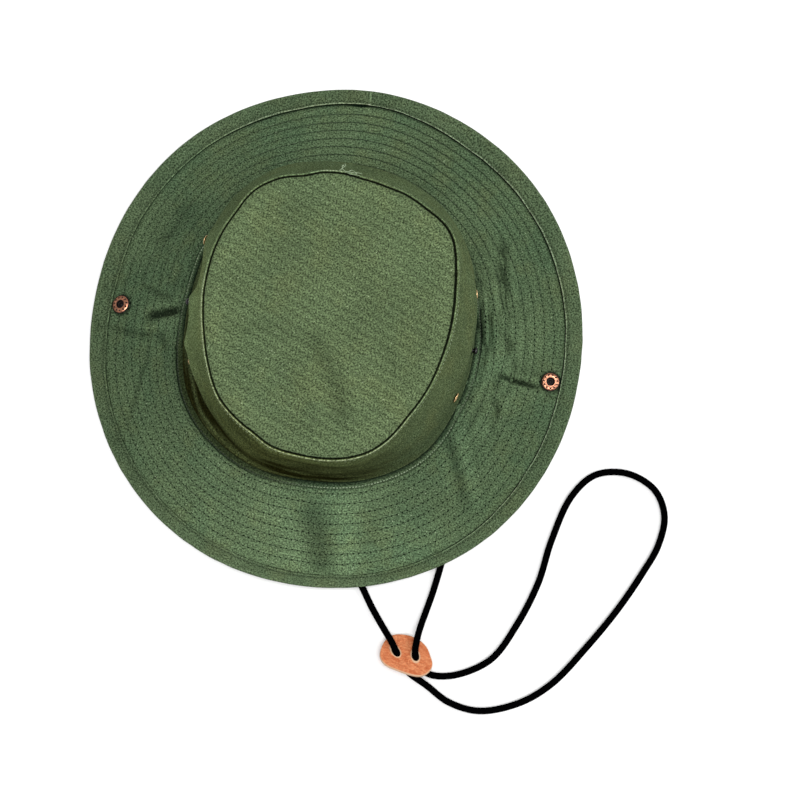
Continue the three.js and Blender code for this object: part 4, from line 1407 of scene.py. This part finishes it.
# The tape's inner edge: painted highlight on its last two upper rows, painted shadow on the two below them
edge_light_and_shade_rows = dict(zip(range(top_rows.stop - 2, top_rows.stop + 2), (-0.6, -0.8, 0.8, 0.95)))
crisp = shaded_side(tape_angles)
past_join = past_angle(tape_angles, TAPE_JOIN)
over = np.array([k in top_rows for k in range(len(tape))])
tape_rise = tape_rise - tape_lap(tape_angles)[:, None] * TAPE_RELIEF * over
pale_edge = 0.7 + 1.3 * crisp
plain = np.ones_like(crisp)
tape_shade = np.stack([edge_light_and_shade_rows.get(k, 0.0) * (pale_edge if k < top_rows.stop else plain)
                       for k in range(len(tape))], 1)
# Painted shadow just before the lapped end of the tape, a painted highlight along the end itself, and painted light
# at the front.
tape_shade = tape_shade + (0.5 * hump(past_join + 0.9, 0.5) - 1.3 * hump(past_join - 0.2, 0.45))[:, None] * over
tape_shade = tape_shade - 0.22 * near_angle(tape_angles, 268, 38)[:, None]
edge_tape = own(loft("edge_tape", tape, tape_angles, MATERIALS["tape"],
                     {"weave": tape_weave, "relief": tape_rise.ravel(), "shade": tape_shade.ravel()}),
                "tape_cloth", "brim_binding")


# Stitches and the needle's holes between them: how far apart the stitches are, and how far in the tape's lie

QUILT_STITCH = 3.4
MARGIN_STITCH = 1.9
WALL_STITCH = 2.5
TAPE_STITCH = 2.1
TAPE_STITCH_IN = 1.75


def stitch_line(surface, along, pitch, start, side, length, width, rise, template=STITCH):
    degrees = spaced(surface, along, pitch, start)
    count = len(degrees)
    places = frames(surface, degrees, np.full(count, along) + rng.normal(0, 0.0006, count), side)
    return scatter(template, places, stitch_sizes(count, length, width, rise))


def hole_line(surface, along, pitch, start, side, size=1.2):
    degrees = spaced(surface, along, pitch, start)
    degrees = degrees + (degrees[1] - degrees[0]) / 2
    count = len(degrees)
    places = frames(surface, degrees, np.full(count, along), side)
    return scatter(HOLE, places, stitch_sizes(count, size, size, 0.42))


quilting = own(scattered("quilting_stitches", [
    stitch_line(brim_top, s, QUILT_STITCH, BRIM_JOIN, 1, 2.6, 0.5, 0.42) for s in QUILT_LINES
], MATERIALS["quilt_thread"], back_shade), "brim_cloth")
quilting_under = own(scattered("quilting_stitches_under", [
    stitch_line(brim_bottom, s, QUILT_STITCH, BRIM_JOIN, -1, 2.7, 0.5, 0.34, COARSE_STITCH) for s in QUILT_LINES
], MATERIALS["quilt_thread"]), "brim_cloth")

# Start angle, reach past the seam, height over it, and the steps of the thread, in millimetres
LOOSE_THREADS = [
    [92.5, 0.5, [(-2.5, 0.2, 0.2), (-2, 1.2, 0), (-0.6, 1.8, -0.2), (0.8, 0.9, -0.3), (0.2, -0.8, -0.2)]],
    [89.5, 0.8, [(-1.6, 1.4, 0.2), (-1.8, 0.4, 0.1), (-1.2, -1, 0.1), (-1.4, -0.9, 0.2)]],
    [97, 0.6, [(1.4, 1.6, 0.1), (1.6, 1.8, -0.1), (-0.6, 1.4, -0.3)]],
    [94.5, 0.2, [(2.4, 0.5, 0.2), (2.6, -0.2, 0), (2.4, 0.6, 0), (2.6, -0.4, 0.1)]],
    [88, 0.3, [(-2.6, 0.3, 0.2), (-2.4, -0.3, 0), (-2.2, 0.5, 0)]],
]


def loose_ends():
    """Ends of thread left on the crown's seam at the back."""
    for angle, past, steps in LOOSE_THREADS:
        start = np.array(to_space(seam_reach(angle) + past, around("seamHeight", angle) + 0.9, angle))
        bends = start + np.concatenate([[(0, 0, 0)], np.cumsum(steps, axis=0)]) * MM
        place = np.linspace(0, len(bends) - 1, 6 * len(steps) + 1)
        line = points_at(place, np.arange(len(bends)), bends)
        line[1:-1] = (line[:-2] + line[1:-1] + line[2:]) / 3
        points, faces, _ = tube(line, place, 0.19, 5)
        yield points, *faces


topstitching = own(scattered("topstitching", [
    stitch_line(brim_top, MARGIN_SHARE, MARGIN_STITCH, BRIM_JOIN, 1, 1.5, 0.75, 0.5),
    stitch_line(wall_out, WALL_STITCH_CLIMB, WALL_STITCH, SEAM_BACK, -1, 1.8, 0.75, 0.62),
    *loose_ends(),
], MATERIALS["top_thread"], left_foot_shade), "brim_cloth")


def tape_line(face):
    """A surface whose along is millimetres from the tape's inner edge."""
    return lambda degrees, along: face(degrees, along / around("tapeWidth", degrees))


tape_stitching = own(scattered("tape_stitching", [
    stitch_line(tape_line(tape_top), TAPE_STITCH_IN, TAPE_STITCH, TAPE_JOIN, 1, 1.55, 0.5, 0.34),
    stitch_line(tape_line(tape_under), TAPE_STITCH_IN, TAPE_STITCH, TAPE_JOIN, -1, 1.55, 0.5, 0.34, COARSE_STITCH),
], MATERIALS["quilt_thread"]), "tape_cloth")

# Dark beads along the rows of stitches: painted shadow of the needle's holes.
needle_hole_shadows = own(scattered("needle_hole_shadows", [
    *(hole_line(brim_top, s, QUILT_STITCH, BRIM_JOIN, 1) for s in QUILT_LINES),
    hole_line(brim_top, MARGIN_SHARE, MARGIN_STITCH, BRIM_JOIN, 1, 0.5),
    hole_line(wall_out, WALL_STITCH_CLIMB, WALL_STITCH, SEAM_BACK, -1, 0.8),
    hole_line(tape_line(tape_top), TAPE_STITCH_IN, TAPE_STITCH, TAPE_JOIN, 1, 0.65),
], MATERIALS["hole"]), "brim_cloth")


# Fittings turned on their axes

def turned(name, outline, sides, materials, dents=None, picks=None):
    """A turned piece from radius and height pairs, where dents(radius, turn, level) gives what is pressed in."""
    place, rotation = PLACES[name]
    outline = np.array(outline, float)
    turn = np.arange(sides) * 2 * np.pi / sides
    inner = outline[(outline[:, 0] > 0)]
    radius = np.broadcast_to(inner[:, 0][None], (sides, len(inner)))
    level = np.broadcast_to(inner[:, 1][None], (sides, len(inner))).copy()
    if dents is not None:
        level = level - dents(radius, turn[:, None], level)
    points = np.stack([radius * np.cos(turn)[:, None], radius * np.sin(turn)[:, None], level], -1)
    rows = len(inner)
    j = np.arange(sides)[:, None]
    after = (j + 1) % sides
    k = np.arange(rows - 1)[None]
    faces = [np.stack(np.broadcast_arrays(j * rows + k, after * rows + k, after * rows + k + 1, j * rows + k + 1), -1)
             .reshape(-1, 4)]
    flat = points.reshape(-1, 3)
    on_axis = outline[outline[:, 0] == 0][:, 1]
    if len(on_axis):
        flat = np.concatenate([flat, [[0, 0, z] for z in on_axis]])
        first, last = len(flat) - 2, len(flat) - 1
        j, after = j[:, 0], after[:, 0]
        faces.append(np.concatenate([
            np.stack([np.full(sides, first), after * rows, j * rows], 1),
            np.stack([np.full(sides, last), j * rows + rows - 1, after * rows + rows - 1], 1),
        ]))
    else:
        ring = np.concatenate([j * rows + rows - 1, after * rows + rows - 1, after * rows, j * rows], 1)
        faces.append(ring)
    matrix = np.array(rotation.to_matrix())
    world = flat * MM @ matrix.T + np.array(place)
    chosen = None
    if picks is not None:
        band = picks((inner[:-1] + inner[1:])[None] / 2, turn[:, None] + np.pi / sides)
        chosen = np.concatenate([band.ravel(), np.ones(len(faces[1]), int)])
    return add_mesh(name + "_turned", world, faces, materials, picks=chosen)


def arc_points(middle, radius, start, end, count):
    """Points of an arc in the outline's plane, in degrees."""
    return [[middle[0] + radius[0] * math.cos(math.radians(a)), middle[1] + radius[1] * math.sin(math.radians(a))]
            for a in np.linspace(start, end, count)]


SNAP_OUTLINE = [
    [0, -1.7], [4.4, -1.7], *arc_points([4.4, -1.5], [0.5, 0.2], -60, 0, 3), [4.9, -1.3], [3.2, -1.3], [3.2, 1.3],
    [5.5, 1.3], *arc_points([5.45, 1.55], [0.42, 0.3], -60, 70, 6), [5.25, 2.0], [5.0, 2.25], [4.7, 2.4],
    [4.4, 2.5], [4.1, 2.55], [3.8, 2.55], [3.5, 2.5], [3.2, 2.42], *arc_points([2.6, 2.3], [0.35, 0.22], 80, 180, 5),
    [2.25, 1.8], [2.2, 1.3], [2.1, 1.0], [1.7, 0.9], [1.2, 0.9], [0.95, 1.05], [0.75, 1.35], [0.4, 1.5], [0, 1.52],
]
SNAP_DOTS = 11


def from_dots(radius, turn):
    phase = (turn * SNAP_DOTS / (2 * np.pi)) % 1 - 0.5
    return np.hypot(phase * 2 * np.pi * 4.2 / SNAP_DOTS, radius - 4.2)


def snap_dents(radius, turn, level):
    return 0.35 * hump(from_dots(radius, turn), 0.36) * (level > 1.9)


def snap_picks(middles, turn):
    """Copper, 0, on a snap's ring and the pin in its middle; dark, 1, on its marks, hollow, rim and foot."""
    radius, level = middles[..., 0], middles[..., 1]
    ring = (radius > 2.6) & (radius < 5.2) & (level > 1.9)
    return np.where(ring & (from_dots(radius, turn) > 0.58) | (radius < 0.5) & (level > 1), 0, 1)


STUD_OUTLINE = [
    [0, -1.4], [2.8, -1.4], [3, -1.1], [1.5, -1.1], [1.5, 1.1], [3, 1.1], [3.05, 1.25], [2.7, 1.42], [1.5, 1.55],
    [1.28, 1.7], [1.2, 2.2], *arc_points([0, 3.45], [2.12, 1.45], -52, 86, 15), [0, 4.9],
]
EYELET_OUTLINE = [
    [1.6, -1.35], [2.2, -1.4], [2.9, -1.35], [3.15, -1.15], [2.2, -1.1], [2.2, 1.1], [3.3, 1.1],
    *arc_points([2.45, 1.15], [0.95, 0.85], 5, 165, 12), [1.6, 1.2], [1.6, 0.2], [1.6, -0.8],
]


for fitting in FITTINGS:
    kind, name = fitting["kind"], fitting["name"]
    if kind == "snap":
        finishes = [MATERIALS["copper"], MATERIALS["tarnish"]]
        own(turned(name, SNAP_OUTLINE, 180, finishes, snap_dents, snap_picks), "copper", name)
    elif kind == "stud":
        own(turned(name, STUD_OUTLINE, 64, MATERIALS["black"]), "black_metal", name)
    else:
        own(turned(name, EYELET_OUTLINE, 56, MATERIALS["brass"]), "copper", name)


tuple(cord_path[0])


# Pale floor and soft studio light

FLOOR_HALF = 4
FLOOR_DROP = 0.0002
SKY_STRENGTH = 0.5
# name, strength, angle it spreads over, where it comes from
LIGHTS = [
    ["key_light", 1.2, 24, (0.85, 0.3, 0.75)],
    ["overhead_light", 2.6, 40, (0.08, -0.2, 1)],
]

floor_mesh = bpy.data.meshes.new("floor")
floor_mesh.from_pydata([(x * FLOOR_HALF, y * FLOOR_HALF, 0) for x, y in ((-1, -1), (1, -1), (1, 1), (-1, 1))],
                       [], [(0, 1, 2, 3)])
floor = placed("floor", floor_mesh)
floor.location.z = -FLOOR_DROP
material, tree, shader = start_material("pale_floor")
finish_material(tree, shader, Base_Color=(0.86, 0.86, 0.86, 1), Roughness=0.9, Specular_IOR_Level=0.1)
floor_mesh.materials.append(material)

world = bpy.data.worlds.new("studio")
world.use_nodes = True
sky = world.node_tree.nodes["Background"].inputs
sky["Color"].default_value = (1, 1, 1, 1)
sky["Strength"].default_value = SKY_STRENGTH
bpy.context.scene.world = world
for name, energy, spread_angle, direction in LIGHTS:
    light = placed(name, bpy.data.lights.new(name, "SUN"))
    light.data.energy = energy
    light.data.angle = math.radians(spread_angle)
    light.rotation_mode = "QUATERNION"
    light.rotation_quaternion = Vector(direction).to_track_quat("Z", "Y")
bpy.context.scene.view_settings.view_transform = "Standard"
